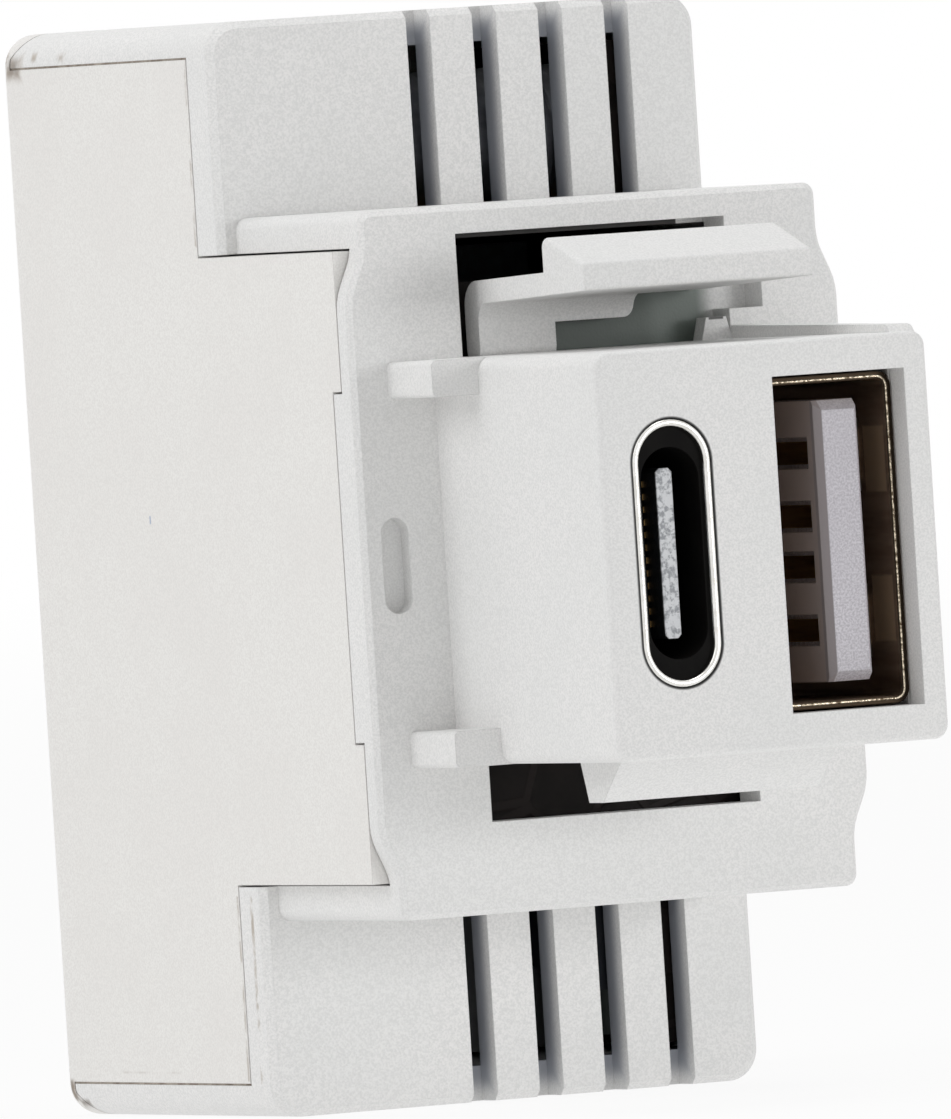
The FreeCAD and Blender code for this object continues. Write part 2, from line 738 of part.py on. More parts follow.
def housing():
    """The one-piece moulding: nose, block and rear box, open at its left side and back."""
    outside = fuse("housing_outside", rear_box(), block(), nose())
    box_room = box(
        "box_room",
        (f"{LEFT} - 2 * {PAST}", RIGHT_INSIDE),
        (BOX_INSIDE, f"{BACK_WALL} + {SEAT}"),
        (f"-{BOX_CEILING}", BOX_CEILING),
    )
    front_strip = box(
        "box_front_strip",
        (LEFT, COVER_INSIDE),
        (BOX_INSIDE, f"{COVER_FRONT} - cover_seam"),
        (f"-{BOX_CEILING} - {SEAT}", f"{BOX_CEILING} + {SEAT}"),
    )
    block_room = box(
        "block_room",
        (COVER_INSIDE, f"{BLOCK_SIDE} - block_wall"),
        (BLOCK_INSIDE, f"{BOX_INSIDE} + {SEAT}"),
        (f"-{BLOCK_CEILING}", BLOCK_CEILING),
    )
    nose_room = box(
        "nose_room",
        (f"-{NOSE_HALF} + nose_wall", f"{NOSE_HALF} - nose_wall"),
        (f"{NOSE_FACE} + nose_face_wall", f"{BLOCK_INSIDE} + {SEAT}"),
        (f"-{NOSE_TOP} + nose_wall", f"{NOSE_TOP} - nose_wall"),
    )
    through_face = (f"{NOSE_FACE} - {PAST}", f"{NOSE_FACE} + nose_face_wall + {SEAT}")
    flat_port = box(
        "flat_port",
        (f"{A_CENTRE} - a_width / 2 - a_clearance", f"{A_CENTRE} + a_width / 2 + a_clearance"),
        through_face,
        ("-a_height / 2 - a_clearance", "a_height / 2 + a_clearance"),
    )
    round_port = stadium("round_port", C_CENTRE, C_RIM_WIDTH, C_RIM_HEIGHT, through_face)
    foot_seat = rod(
        "foot_seat",
        "x",
        "latch_root / 2 + pivot_gap",
        (PIVOT_Y, PIVOT_LEVEL),
        (f"-{LATCH_HALF} - pivot_gap", "latch_leg_right + pivot_gap"),
    )
    hollow = cut(
        "housing_hollow",
        outside,
        cut("box_room_shape", box_room, front_strip),
        block_room,
        nose_room,
        flat_port,
        round_port,
        foot_seat,
        *cover_regions("cover_room", "cover_seam"),
        *windows(),
        *vents(),
    )
    posts = []
    for k, place in enumerate(board_posts()):
        foot = (BOARD_BACK, f"{RIGHT_INSIDE} + {SEAT}")
        pip = (BOARD_FACE, f"{BOARD_BACK} + {SEAT}")
        posts.append(rod(f"board_post_{k}", "x", "post_radius", place, foot))
        posts.append(rod(f"board_pip_{k}", "x", "post_pip", place, pip))
    node(fuse("housing_moulding", hollow, *window_fittings(), *posts), "housing")


def entry_places():
    """The two wire entries in the back wall: X and Z of each."""
    across = f"({BOARD_FACE} - terminal_width / 2)"
    return [
        (across, f"({TERMINAL_LEVEL} + entry_pitch / 2)"),
        (across, f"({TERMINAL_LEVEL} - entry_pitch / 2)"),
    ]


def release_slot(name, level, y):
    """The slot beside a wire entry through which a screwdriver frees the wire."""
    middle = f"({BOARD_FACE} - terminal_width + release_inset)"
    x = (f"{middle} - release_length / 2", f"{middle} + release_length / 2")
    return box(name, x, y, (f"{level} - release_width / 2", f"{level} + release_width / 2"))


def side_cover():
    """The L-shaped cover: side plate with its tab, and the back wall with the wire entries."""
    plate, tab, back = cover_regions("cover", "0")
    shell = common("cover_shell", rear_box(), fuse("cover_reach", plate, back))
    tools = []
    for k, place in enumerate(entry_places()):
        through = (f"{BACK_WALL} - {SEAT}", f"{BOX_BACK} + {SEAT}")
        mouth = (f"{BOX_BACK} - entry_funnel", BOX_BACK)
        tools.append(rod(f"entry_{k}", "y", "entry_radius", place, through))
        tools.append(funnel(f"entry_mouth_{k}", "entry_radius", "entry_mouth", place, mouth))
        tools.append(release_slot(f"release_{k}", place[1], through))
    rib_high = f"({BOX_CEILING} - cover_seam)"
    rib_low = f"({rib_high} - cover_rib)"
    rib_middle = f"(({COVER_FRONT} + {BACK_WALL}) / 2)"
    rib_x = (f"{COVER_INSIDE} - {SEAT}", f"{COVER_INSIDE} + cover_rib_depth")
    rib_y = (f"{rib_middle} - cover_rib_length / 2", f"{rib_middle} + cover_rib_length / 2")
    ribs = [
        box("cover_rib_upper", rib_x, rib_y, (rib_low, rib_high)),
        box("cover_rib_lower", rib_x, rib_y, (f"-{rib_high}", f"-{rib_low}")),
    ]
    node(cut("cover_moulding", fuse("cover_whole", shell, tab, *ribs), *tools), "side_cover")


def latch():
    """The springy arm with its hook: a bent profile run across its width, cut free below."""
    tip = f"({LATCH_UNDER} + latch_lift)"
    rise = f"latch_lift * ({ROOT_BACK} + panel_gap) / ({ROOT_BACK} + latch_reach)"
    outline = [
        (ROOT_FRONT, PIVOT_LEVEL),
        (ROOT_FRONT, LATCH_UNDER),
        ("-latch_reach", tip),
        ("-latch_reach", f"{tip} + latch_lip"),
        ("-panel_gap - latch_flat", f"{NOSE_TOP} + latch_crest"),
        ("-panel_gap", f"{NOSE_TOP} + latch_crest"),
        ("-panel_gap", f"{LATCH_UNDER} + latch_arm + {rise}"),
        (ROOT_BACK, f"{LATCH_UNDER} + latch_arm"),
        (ROOT_BACK, PIVOT_LEVEL),
    ]
    plain = prism("latch_plain", "YZ", outline, (f"-{LATCH_HALF}", LATCH_HALF))
    back = end_of(plain, "y", "Max")
    front = back - size("latch_root")
    crest = end_of(plain, "z", "Max")
    arm_level = crest - size("latch_crest") + size("latch_under")
    hook_back = -size("panel_gap")
    side = end_of(plain, "x", "Max")

    def is_bend(edge):
        at = centre_of(edge)
        return runs_along(edge, "x") and abs(at.y - back) < NEAR and at.z > arm_level

    def is_inner_bend(edge):
        at = centre_of(edge)
        return runs_along(edge, "x") and abs(at.y - front) < NEAR and at.z > arm_level - NEAR

    def is_crest(edge):
        at = centre_of(edge)
        return runs_along(edge, "x") and abs(at.y - hook_back) < NEAR and abs(at.z - crest) < NEAR

    bent = rounded("latch_bent", plain, size("latch_bend"), is_bend)
    filled = rounded("latch_filled", bent, size("latch_fillet"), is_inner_bend)
    crested = rounded("latch_crested", filled, size("latch_crest_round"), is_crest)
    leg_top = f"({NOSE_TOP} + latch_leg_height)"
    below = f"({NOSE_TOP} - latch_root)"
    relief_outline = [
        ("latch_leg_right", below),
        ("latch_leg_right", leg_top),
        ("latch_root_right", leg_top),
        ("latch_root_right", LATCH_UNDER),
        (f"{LATCH_HALF} + {PAST}", LATCH_UNDER),
        (f"{LATCH_HALF} + {PAST}", below),
    ]
    relief_span = (f"{ROOT_FRONT} - 2 * latch_fillet", f"{ROOT_BACK} + {PAST}")
    relief_plain = prism("relief_plain", "XZ", relief_outline, relief_span)
    corner_level = arm_level - size("latch_under") + size("latch_leg_height")

    def is_root_corner(edge):
        at = centre_of(edge)
        on_corner = abs(at.x - size("latch_root_right")) < NEAR and abs(at.z - corner_level) < NEAR
        return runs_along(edge, "y") and on_corner

    relief = rounded("relief", relief_plain, size("latch_leg_round"), is_root_corner)
    arm = cut("latch_arm_shape", crested, relief)
    lip_level = arm_level + size("latch_arm") + size("latch_flat")

    def is_outer_edge(edge):
        at = centre_of(edge)
        on_side = abs(abs(at.x) - side) < NEAR and edge.BoundBox.XLength < NEAR
        on_hook = at.y < hook_back - NEAR or at.z > lip_level
        on_front = runs_along(edge, "x") and at.y < hook_back - size("latch_flat") - NEAR
        return (on_side and on_hook) or on_front

    soft = rounded("latch_soft_shape", arm, size("latch_soft"), is_outer_edge)
    foot = rod(
        "latch_foot",
        "x",
        "latch_root / 2",
        (PIVOT_Y, PIVOT_LEVEL),
        (f"-{LATCH_HALF}", "latch_leg_right"),
    )
    node(fuse("latch_piece", soft, foot), "latch")


def shell_finger(name, side, level):
    """A slot in the shell's broad side and the springy finger bent inwards in it."""
    front = f"({NOSE_FACE} + a_recess + a_finger_place)"
    back = f"({front} + a_finger_length)"
    outer = f"({A_CENTRE} + ({side}) * a_width / 2)"
    inner = f"({A_CENTRE} + ({side}) * (a_width / 2 - a_sheet))"
    inward = f"({side}) * a_finger_bend"
    x = (f"{outer} - {SEAT}", f"{inner} + {SEAT}")
    if side == "1":
        x = (f"{inner} - {SEAT}", f"{outer} + {SEAT}")
    half_slot = "(a_finger_width / 2 + a_finger_slot)"
    slot = box(f"{name}_slot", x, (front, back), (f"{level} - {half_slot}", f"{level} + {half_slot}"))
    outline = [
        (outer, f"{back} + {SEAT}"),
        (inner, f"{back} + {SEAT}"),
        (f"{inner} - {inward}", f"{front} + a_finger_slot"),
        (f"{outer} - {inward}", f"{front} + a_finger_slot"),
    ]
    width = (f"{level} - a_finger_width / 2", f"{level} + a_finger_width / 2")
    return slot, prism(name, "XY", outline, width)


def flat_receptacle():
    """Folded steel shell, moulded tongue and four flat contacts."""
    front = f"({NOSE_FACE} + a_recess)"
    outer = box(
        "a_outer",
        (f"{A_CENTRE} - a_width / 2", f"{A_CENTRE} + a_width / 2"),
        (front, PORT_BOARD_FRONT),
        ("-a_height / 2", "a_height / 2"),
    )
    outer_soft = rounded("a_outer_soft", outer, 2 * size("a_sheet"), lambda e: runs_along(e, "y"))
    inner_x = (f"{A_CENTRE} - a_width / 2 + a_sheet", f"{A_CENTRE} + a_width / 2 - a_sheet")
    inner_z = ("-a_height / 2 + a_sheet", "a_height / 2 - a_sheet")
    room = box("a_room", inner_x, (f"{front} - {PAST}", f"{PORT_BOARD_FRONT} + {PAST}"), inner_z)
    room_soft = rounded("a_room_soft", room, size("a_sheet"), lambda e: runs_along(e, "y"))
    fingers = []
    slots = []
    for word, side in (("left", "-1"), ("right", "1")):
        for place, level in (("upper", "a_height / 4"), ("lower", "-a_height / 4")):
            slot, finger = shell_finger(f"a_finger_{word}_{place}", side, level)
            slots.append(slot)
            fingers.append(finger)
    node(fuse("a_shell", cut("a_can", outer_soft, room_soft, *slots), *fingers), "usb_a_shell")

    base = box("a_base_plain", inner_x, (f"{PORT_BOARD_FRONT} - a_base", PORT_BOARD_FRONT), inner_z)
    base_soft = rounded("a_base_soft", base, size("a_sheet"), lambda e: runs_along(e, "y"))
    middle = f"({A_CENTRE} + a_tongue_offset)"
    tip = f"({front} + a_tongue_recess)"
    face = f"({middle} - a_tongue / 2)"
    far_face = f"({middle} + a_tongue / 2)"
    root = f"({PORT_BOARD_FRONT} - a_base / 2)"
    end = "(a_height / 2 - a_sheet - a_tongue_gap)"
    # The blade is what two outlines share: one seen from above, one from the side.
    from_above = [
        (f"{face} + a_tongue_lead", tip),
        (f"{far_face} - a_tongue_soft", tip),
        (far_face, f"{tip} + a_tongue_soft"),
        (far_face, root),
        (face, root),
        (face, f"{tip} + a_tongue_lead"),
    ]
    from_side = [
        (tip, f"-{end} + a_tongue_end"),
        (f"{tip} + a_tongue_end", f"-{end}"),
        (root, f"-{end}"),
        (root, end),
        (f"{tip} + a_tongue_end", end),
        (tip, f"{end} - a_tongue_end"),
    ]
    blade = common(
        "a_blade",
        prism("a_blade_above", "XY", from_above, (f"-{end} - {PAST}", f"{end} + {PAST}")),
        prism("a_blade_side", "YZ", from_side, (f"{face} - {PAST}", f"{far_face} + {PAST}")),
    )
    grooves = []
    strips = []
    groove_front = f"({tip} + a_pocket_place)"
    pitches = ("a_outer_pitch / 2", "a_inner_pitch / 2", "-a_inner_pitch / 2", "-a_outer_pitch / 2")
    for k, level in enumerate(pitches):
        grooves.append(
            box(
                f"a_groove_{k}",
                (f"{face} - {SEAT}", f"{face} + a_pocket_depth"),
                (groove_front, f"{PORT_BOARD_FRONT} + {PAST}"),
                (f"{level} - a_pocket / 2", f"{level} + a_pocket / 2"),
            )
        )
        strips.append(
            box(
                f"a_strip_{k}",
                (f"{face} + a_pocket_depth - a_contact_sheet", f"{face} + a_pocket_depth"),
                (f"{groove_front} + {SEAT}", f"{PORT_BOARD_BACK} + a_contact_tail"),
                (f"{level} - a_contact / 2", f"{level} + a_contact / 2"),
            )
        )
    node(cut("a_insulator", fuse("a_insulator_whole", base_soft, blade), *grooves), "usb_a_tongue")
    node(group("a_contacts", *strips), "usb_a_contacts")
    return strips


def rounded_receptacle():
    """Bright rim, black insert with the rounded mouth, steel can, tongue and its contacts."""
    rim_front = f"({NOSE_FACE} - c_rim_proud)"
    rim_back = f"({NOSE_FACE} + c_rim_depth)"
    hole = (f"{C_RIM_WIDTH} - 2 * c_rim", f"{C_RIM_HEIGHT} - 2 * c_rim")
    ring = stadium("c_rim_outer", C_CENTRE, C_RIM_WIDTH, C_RIM_HEIGHT, (rim_front, rim_back))
    through = (f"{rim_front} - {PAST}", f"{rim_back} + {PAST}")
    node(cut("c_rim_ring", ring, stadium("c_rim_hole", C_CENTRE, *hole, through)), "usb_c_rim")

    throat = ("(c_mouth_width + 2 * c_lining)", "(c_mouth_height + 2 * c_lining)")
    can = (f"({throat[0]} + 2 * c_can_sheet)", f"({throat[1]} + 2 * c_can_sheet)")
    mouth_front = f"({NOSE_FACE} + c_mouth_recess)"
    mouth_back = f"({NOSE_FACE} + c_mouth_depth)"
    insert = fuse(
        "c_insert_whole",
        stadium("c_plug", C_CENTRE, *hole, (mouth_front, rim_back)),
        stadium("c_throat", C_CENTRE, *throat, (f"{rim_back} - {SEAT}", PORT_BOARD_FRONT)),
    )
    mouth_span = (f"{mouth_front} - {PAST}", mouth_back)
    mouth = stadium("c_mouth", C_CENTRE, "c_mouth_width", "c_mouth_height", mouth_span)
    node(cut("c_insert", insert, mouth), "usb_c_insert")

    can_span = (rim_back, PORT_BOARD_FRONT)
    can_through = (f"{rim_back} - {PAST}", f"{PORT_BOARD_FRONT} + {PAST}")
    can_outer = stadium("c_can_outer", C_CENTRE, *can, can_span)
    can_inner = stadium("c_can_inner", C_CENTRE, *throat, can_through)
    node(cut("c_can", can_outer, can_inner), "usb_c_shell")

    row = "((c_contact_count - 1) * c_contact_pitch + c_contact_width)"
    tongue_front = f"({NOSE_FACE} + c_tongue_recess)"
    blade = box(
        "c_blade",
        (f"{C_CENTRE} - c_tongue / 2", f"{C_CENTRE} + c_tongue / 2"),
        (tongue_front, mouth_back),
        (f"-{row} / 2 - c_tongue_end", f"{row} / 2 + c_tongue_end"),
    )
    edge = size("c_tongue_edge")
    node(bevelled("c_blade_soft", blade, edge, lambda e: runs_along(e, "y")), "usb_c_tongue")
    pads = []
    start = f"({tongue_front} + c_contact_place)"
    for word, side in (("left", "-1"), ("right", "1")):
        skin = f"({C_CENTRE} + ({side}) * c_tongue / 2)"
        proud = f"({skin} + ({side}) * c_contact_sheet)"
        x = (proud, skin) if side == "-1" else (skin, proud)
        for k in range(int(size("c_contact_count"))):
            level = f"({k} - (c_contact_count - 1) / 2) * c_contact_pitch"
            pads.append(
                box(
                    f"c_pad_{word}_{k}",
                    x,
                    (start, f"{start} + c_contact_length"),
                    (f"{level} - c_contact_width / 2", f"{level} + c_contact_width / 2"),
                )
            )
    node(group("c_contact_pads", *pads), "usb_c_contacts")


def port_board(strips):
    """The upright board behind the block's face, pierced by the flat contacts' tails."""
    panel = box(
        "port_panel",
        (
            f"{COVER_INSIDE} + port_board_side_gap",
            f"{BLOCK_SIDE} - block_wall - port_board_side_gap",
        ),
        (PORT_BOARD_FRONT, PORT_BOARD_BACK),
        (f"-{BLOCK_CEILING} + port_board_end_gap", f"{BLOCK_CEILING} - port_board_end_gap"),
    )
    node(cut("port_board_panel", panel, group("port_board_holes", *strips)), "port_board")


def main_board():
    """The cross-shaped board along the right side, seated on four posts with pips."""
    tab = f"({BLOCK_CEILING} - main_board_margin)"
    outline = [
        (BOARD_FRONT, f"-{tab}"),
        (BOARD_STEP, f"-{tab}"),
        (BOARD_STEP, f"-{BOARD_HALF}"),
        (BOARD_REAR, f"-{BOARD_HALF}"),
        (BOARD_REAR, BOARD_HALF),
        (BOARD_STEP, BOARD_HALF),
        (BOARD_STEP, tab),
        (BOARD_FRONT, tab),
    ]
    panel = prism("main_panel", "YZ", outline, (BOARD_FACE, BOARD_BACK))
    through = (f"{BOARD_FACE} - {PAST}", f"{BOARD_BACK} + {PAST}")
    holes = [
        rod(f"pip_hole_{k}", "x", "post_pip + pip_gap", place, through)
        for k, place in enumerate(board_posts())
    ]
    node(cut("main_board_panel", panel, *holes), "main_board")


def link_pins():
    """Bent pins that carry the port board's rails over to the main board."""
    knee = f"({BOARD_FRONT} + pin_knee)"
    left = f"({BOARD_FACE} - pin_reach)"
    outline = [
        (left, PORT_BOARD_BACK),
        (f"{left} + pin", PORT_BOARD_BACK),
        (f"{left} + pin", f"{knee} - pin"),
        (BOARD_FACE, f"{knee} - pin"),
        (BOARD_FACE, knee),
        (left, knee),
    ]
    pins = []
    for k in range(int(size("pin_count"))):
        level = f"(({k} - (pin_count - 1) / 2) * pin_pitch)"
        pins.append(prism(f"pin_{k}", "XY", outline, (f"{level} - pin / 2", f"{level} + pin / 2")))
    node(group("pin_row", *pins), "board_link_pins")


def transformer():
    """Ferrite core with two windows, the coil former with its feet, and the winding."""
    base_top = f"({BOARD_FACE} - core_base)"
    far = f"({COVER_INSIDE} + core_clear)"
    front = f"({CORE_Y} - core_depth / 2)"
    back = f"({CORE_Y} + core_depth / 2)"
    yoke = f"({CORE_HEIGHT} * core_yoke_share)"
    half_middle = f"({CORE_HEIGHT} * core_middle_share / 2)"
    low_x = f"({far} + core_leg)"
    high_x = f"({base_top} - core_leg)"
    through = (f"{front} - {PAST}", f"{back} + {PAST}")
    block_of_core = box("core_block", (far, base_top), (front, back), (CORE_LOW, CORE_HIGH))
    upper = (f"{CORE_LEVEL} + {half_middle}", f"{CORE_HIGH} - {yoke}")
    lower = (f"{CORE_LOW} + {yoke}", f"{CORE_LEVEL} - {half_middle}")
    core_windows = [
        box("core_window_upper", (low_x, high_x), through, upper),
        box("core_window_lower", (low_x, high_x), through, lower),
    ]
    node(cut("core", block_of_core, *core_windows), "transformer_core")

    build = f"({CORE_HEIGHT} / 2 - {yoke} - {half_middle} - winding_gap)"

    def ring(name, x, sideways, upwards, gap):
        """A flat ring round the core's middle leg, built out by two amounts."""
        outer = box(
            f"{name}_outer",
            x,
            (f"{front} - {sideways}", f"{back} + {sideways}"),
            (
                f"{CORE_LEVEL} - {half_middle} - {upwards}",
                f"{CORE_LEVEL} + {half_middle} + {upwards}",
            ),
        )
        hole = box(
            f"{name}_hole",
            (f"{x[0]} - {PAST}", f"{x[1]} + {PAST}"),
            (f"{front} - {gap}", f"{back} + {gap}"),
            (f"{CORE_LEVEL} - {half_middle} - {gap}", f"{CORE_LEVEL} + {half_middle} + {gap}"),
        )
        return cut(name, outer, hole)

    left_x = (f"({low_x} + winding_gap)", f"({low_x} + winding_gap + flange)")
    right_x = (f"({high_x} - winding_gap - flange)", f"({high_x} - winding_gap)")
    tube_x = (left_x[0], right_x[1])
    foot_x = (right_x[0], BOARD_FACE)
    foot_z = (f"{CORE_LEVEL} - {half_middle} - {build}", f"{CORE_LEVEL} + {half_middle} + {build}")
    behind = (f"{back} + winding_gap", f"{back} + winding_build")
    before = (f"{front} - winding_build", f"{front} - winding_gap")
    former = fuse(
        "former",
        ring("former_left", left_x, "winding_build", build, "winding_gap"),
        ring("former_right", right_x, "winding_build", build, "winding_gap"),
        ring("former_tube_shape", tube_x, "former_tube", "former_tube", "winding_gap"),
        box("former_foot_back", foot_x, behind, foot_z),
        box("former_foot_front", foot_x, before, foot_z),
    )
    node(former, "transformer_bobbin")
    wire_x = (left_x[1], right_x[0])
    sideways = "(winding_build - 2 * winding_gap)"
    coil = ring("coil_plain", wire_x, sideways, f"({build} - 2 * winding_gap)", "former_tube")
    doc.recompute()
    bounds = coil.Shape.BoundBox

    def is_outer_corner(edge):
        at = centre_of(edge)
        at_side = min(abs(at.y - bounds.YMin), abs(at.y - bounds.YMax)) < NEAR
        at_end = min(abs(at.z - bounds.ZMin), abs(at.z - bounds.ZMax)) < NEAR
        return runs_along(edge, "x") and at_side and at_end

    node(rounded("coil", coil, size("winding_round"), is_outer_corner), "transformer_winding")


def standing_can(name, label, radius, length, place):
    """A round capacitor on the main board, with the crimp groove near its foot."""
    foot = BOARD_FACE
    profile = [
        (foot, "0"),
        (foot, radius),
        (f"{foot} - can_groove_place", radius),
        (f"{foot} - can_groove_place - can_groove_width / 2", f"{radius} - can_groove"),
        (f"{foot} - can_groove_place - can_groove_width", radius),
        (f"{foot} - {length} + can_rim", radius),
        (f"{foot} - {length}", f"{radius} - can_rim"),
        (f"{foot} - {length}", "0"),
    ]
    node(turned(name, profile, place), label)


def capacitors():
    """Two mains cans below the transformer and two output cans above it."""
    rows = (
        ("bulk", BULK_RADIUS, "bulk_length", BULK_LEVEL),
        ("output", OUTPUT_RADIUS, "output_length", OUTPUT_LEVEL),
    )
    for word, radius, length, level in rows:
        for k in range(2):
            y = f"({BOX_INSIDE} + part_gap + {radius} + {k} * (2 * {radius} + part_gap))"
            label = f"{word}_capacitor_{k + 1}"
            standing_can(f"{word}_can_{k + 1}", label, radius, length, (y, level))


def inductor():
    """Wound output inductor behind the upper window: ferrite spool and copper winding."""
    level = f"({BLOCK_CEILING} - choke_gap - choke_radius)"
    place = (f"({BOARD_FRONT} + choke_gap + choke_radius)", level)
    near = f"({BOARD_FACE} - choke_length)"
    inner = (f"({near} + choke_flange)", f"({BOARD_FACE} - choke_flange)")
    spool = [
        (near, "0"),
        (near, "choke_radius"),
        (inner[0], "choke_radius"),
        (inner[0], "choke_middle"),
        (inner[1], "choke_middle"),
        (inner[1], "choke_radius"),
        (BOARD_FACE, "choke_radius"),
        (BOARD_FACE, "0"),
    ]
    node(turned("choke_spool", spool, place), "output_inductor_core")
    turns = [
        (inner[0], "choke_middle"),
        (inner[0], "choke_radius - choke_sunk"),
        (inner[1], "choke_radius - choke_sunk"),
        (inner[1], "choke_middle"),
    ]
    node(turned("choke_turns", turns, place), "output_inductor_winding")


def package(name, label, x, y, z, axis="x"):
    """A moulded part whose top edges are bevelled; its top looks along -X, or along +Y."""
    body = box(name, x, y, z)
    doc.recompute()
    top = end_of(body, axis, "Min" if axis == "x" else "Max")
    edge = size("chip_edge")
    node(bevelled(f"{name}_soft", body, edge, lambda e: lies_at(e, axis, top)), label)


def input_parts():
    """Surge absorber and fusible resistor before the terminals, and the bridge below."""
    disc_back = f"({BOARD_STEP} + disc_thickness)"
    disc_place = (f"({BOARD_FACE} - disc_radius)", TERMINAL_LEVEL)
    disc = rod("varistor_disc", "y", "disc_radius", disc_place, (BOARD_STEP, disc_back))
    node(disc, "varistor")
    fuse_place = (f"({BOARD_FACE} - fuse_radius)", f"({disc_back} + part_gap + fuse_radius)")
    fuse_low = f"({TERMINAL_FLOOR} + part_gap)"
    fuse_span = (fuse_low, f"{fuse_low} + fuse_length")
    node(rod("fuse_body", "z", "fuse_radius", fuse_place, fuse_span), "fuse_resistor")
    bridge_front = f"({BOARD_FRONT} + part_gap)"
    bridge_low = f"(-{BLOCK_CEILING} + main_board_margin + part_gap)"
    package(
        "bridge",
        "bridge_rectifier",
        (f"{BOARD_FACE} - bridge_height", BOARD_FACE),
        (bridge_front, f"{bridge_front} + bridge_length"),
        (bridge_low, f"{bridge_low} + bridge_width"),
    )


def control_parts():
    """Chips on the main board, the port controller and the specks beside it."""
    chip_x = (f"{BOARD_FACE} - chip_height", BOARD_FACE)
    chip_y = f"({BOARD_FRONT} + pin_knee + 2 * part_gap)"
    switch_y = (chip_y, f"{chip_y} + chip_width")
    package("switch", "switching_chip", chip_x, switch_y, ("-chip_gap - chip_length", "-chip_gap"))
    diode_y = (chip_y, f"{chip_y} + chip_length")
    package("diode", "output_rectifier", chip_x, diode_y, ("chip_gap", "chip_gap + chip_width"))
    opto_back = f"({BACK_WALL} - part_gap)"
    package(
        "opto",
        "optocoupler",
        (f"{BOARD_FACE} - opto_height", BOARD_FACE),
        (f"{opto_back} - opto_length", opto_back),
        (f"{OUTPUT_LEVEL} - opto_width / 2", f"{OUTPUT_LEVEL} + opto_width / 2"),
    )
    package(
        "control",
        "port_control_chip",
        ("-chip_width / 2", "chip_width / 2"),
        (PORT_BOARD_BACK, f"{PORT_BOARD_BACK} + chip_height"),
        ("control_level - chip_length / 2", "control_level + chip_length / 2"),
        axis="y",
    )
    specks = []
    for k in range(8):
        across = f"(speck_left + {k % 4} * speck_pitch)"
        level = f"(speck_level - {k // 4} * speck_row)"
        specks.append(
            box(
                f"speck_{k}",
                (f"{across} - speck_width / 2", f"{across} + speck_width / 2"),
                (PORT_BOARD_BACK, f"{PORT_BOARD_BACK} + speck_height"),
                (f"{level} - speck_length / 2", f"{level} + speck_length / 2"),
            )
        )
    node(group("specks", *specks), "chip_components")


def terminals():
    """Two-pole push-in terminal block behind the wire entries, with its spring clamps."""
    back = f"({BACK_WALL} - terminal_gap)"
    left = f"({BOARD_FACE} - terminal_width)"
    body = box(
        "terminal_plain",
        (left, BOARD_FACE),
        (f"{back} - terminal_depth", back),
        (TERMINAL_FLOOR, f"{TERMINAL_FLOOR} + terminal_height"),
    )
    room_front = f"({back} - entry_depth)"
    room_back = f"({room_front} + clamp_room)"
    bore_span = (room_front, f"{back} + {PAST}")
    leaf = f"({room_front} + clamp_room * clamp_leaf_share)"
    clamp_left = f"({left} + release_inset - release_length / 2)"
    tools = []
    clamps = []
    for k, place in enumerate(entry_places()):
        across, level = place
        clamp_right = f"({across} + entry_radius + clamp_side)"
        room_z = (f"{level} - entry_radius", f"{level} + entry_radius")
        tools.append(rod(f"terminal_bore_{k}", "y", "entry_radius", place, bore_span))
        tools.append(release_slot(f"terminal_release_{k}", level, bore_span))
        tools.append(box(f"clamp_room_{k}", (clamp_left, clamp_right), (room_front, room_back), room_z))
        outline = [
            (clamp_right, room_front),
            (clamp_right, room_back),
            (f"{clamp_right} - clamp_sheet", room_back),
            (f"{clamp_right} - clamp_sheet", f"{room_front} + clamp_sheet"),
            (f"{clamp_left} + clamp_sheet", f"{room_front} + clamp_sheet"),
            (f"{clamp_left} + clamp_sheet", leaf),
            (clamp_left, leaf),
            (clamp_left, room_front),
        ]
        span = (f"{level} - clamp_width / 2", f"{level} + clamp_width / 2")
        clamps.append(prism(f"clamp_{k}", "XY", outline, span))
    node(cut("terminal_block", body, *tools), "mains_terminal_body")
    node(group("clamp_pair", *clamps), "mains_clamps")


def check_and_write():
    """Stop at any failed object, then write one file for each finished piece."""
    doc.recompute()
    for item in doc.Objects:
        if "Invalid" in item.State or "Error" in item.State:
            raise RuntimeError(f"{item.Name} failed: {item.State}")
    for item in nodes:
        shape = item.Shape
        if shape.isNull() or not shape.isValid() or not shape.Solids:
            raise RuntimeError(f"{item.Label} has no valid solid")
    os.makedirs("parts", exist_ok=True)
    for item in nodes:
        item.Shape.exportStep(f"parts/{item.Label}.step")
        print(f"{item.Label}: {len(item.Shape.Solids)} solids, {item.Shape.Volume:.2f} mm3")
    print(f"{len(nodes)} pieces")


fill_sheet()
housing()
side_cover()
latch()
port_board(flat_receptacle())
rounded_receptacle()
main_board()
link_pins()
transformer()
capacitors()
inductor()
input_parts()
control_parts()
terminals()
check_and_write()
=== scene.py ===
# %% [markdown]
# # A snap-in charger module, dressed for its portrait
#
# The frame holds the module as it was constructed: every moulding, contact and
# coil at its real size. This lesson gives those pieces their finish, adds the
# few fine parts that are easier to shape as a mesh, and sets up the light and
# the camera. Blender works in metres here, and most sizes on this object are
# fractions of a millimetre, so one small constant turns one into the other.

# %% Load the frame
import json
import math

import bmesh
import bpy
from mathutils import Matrix, Vector


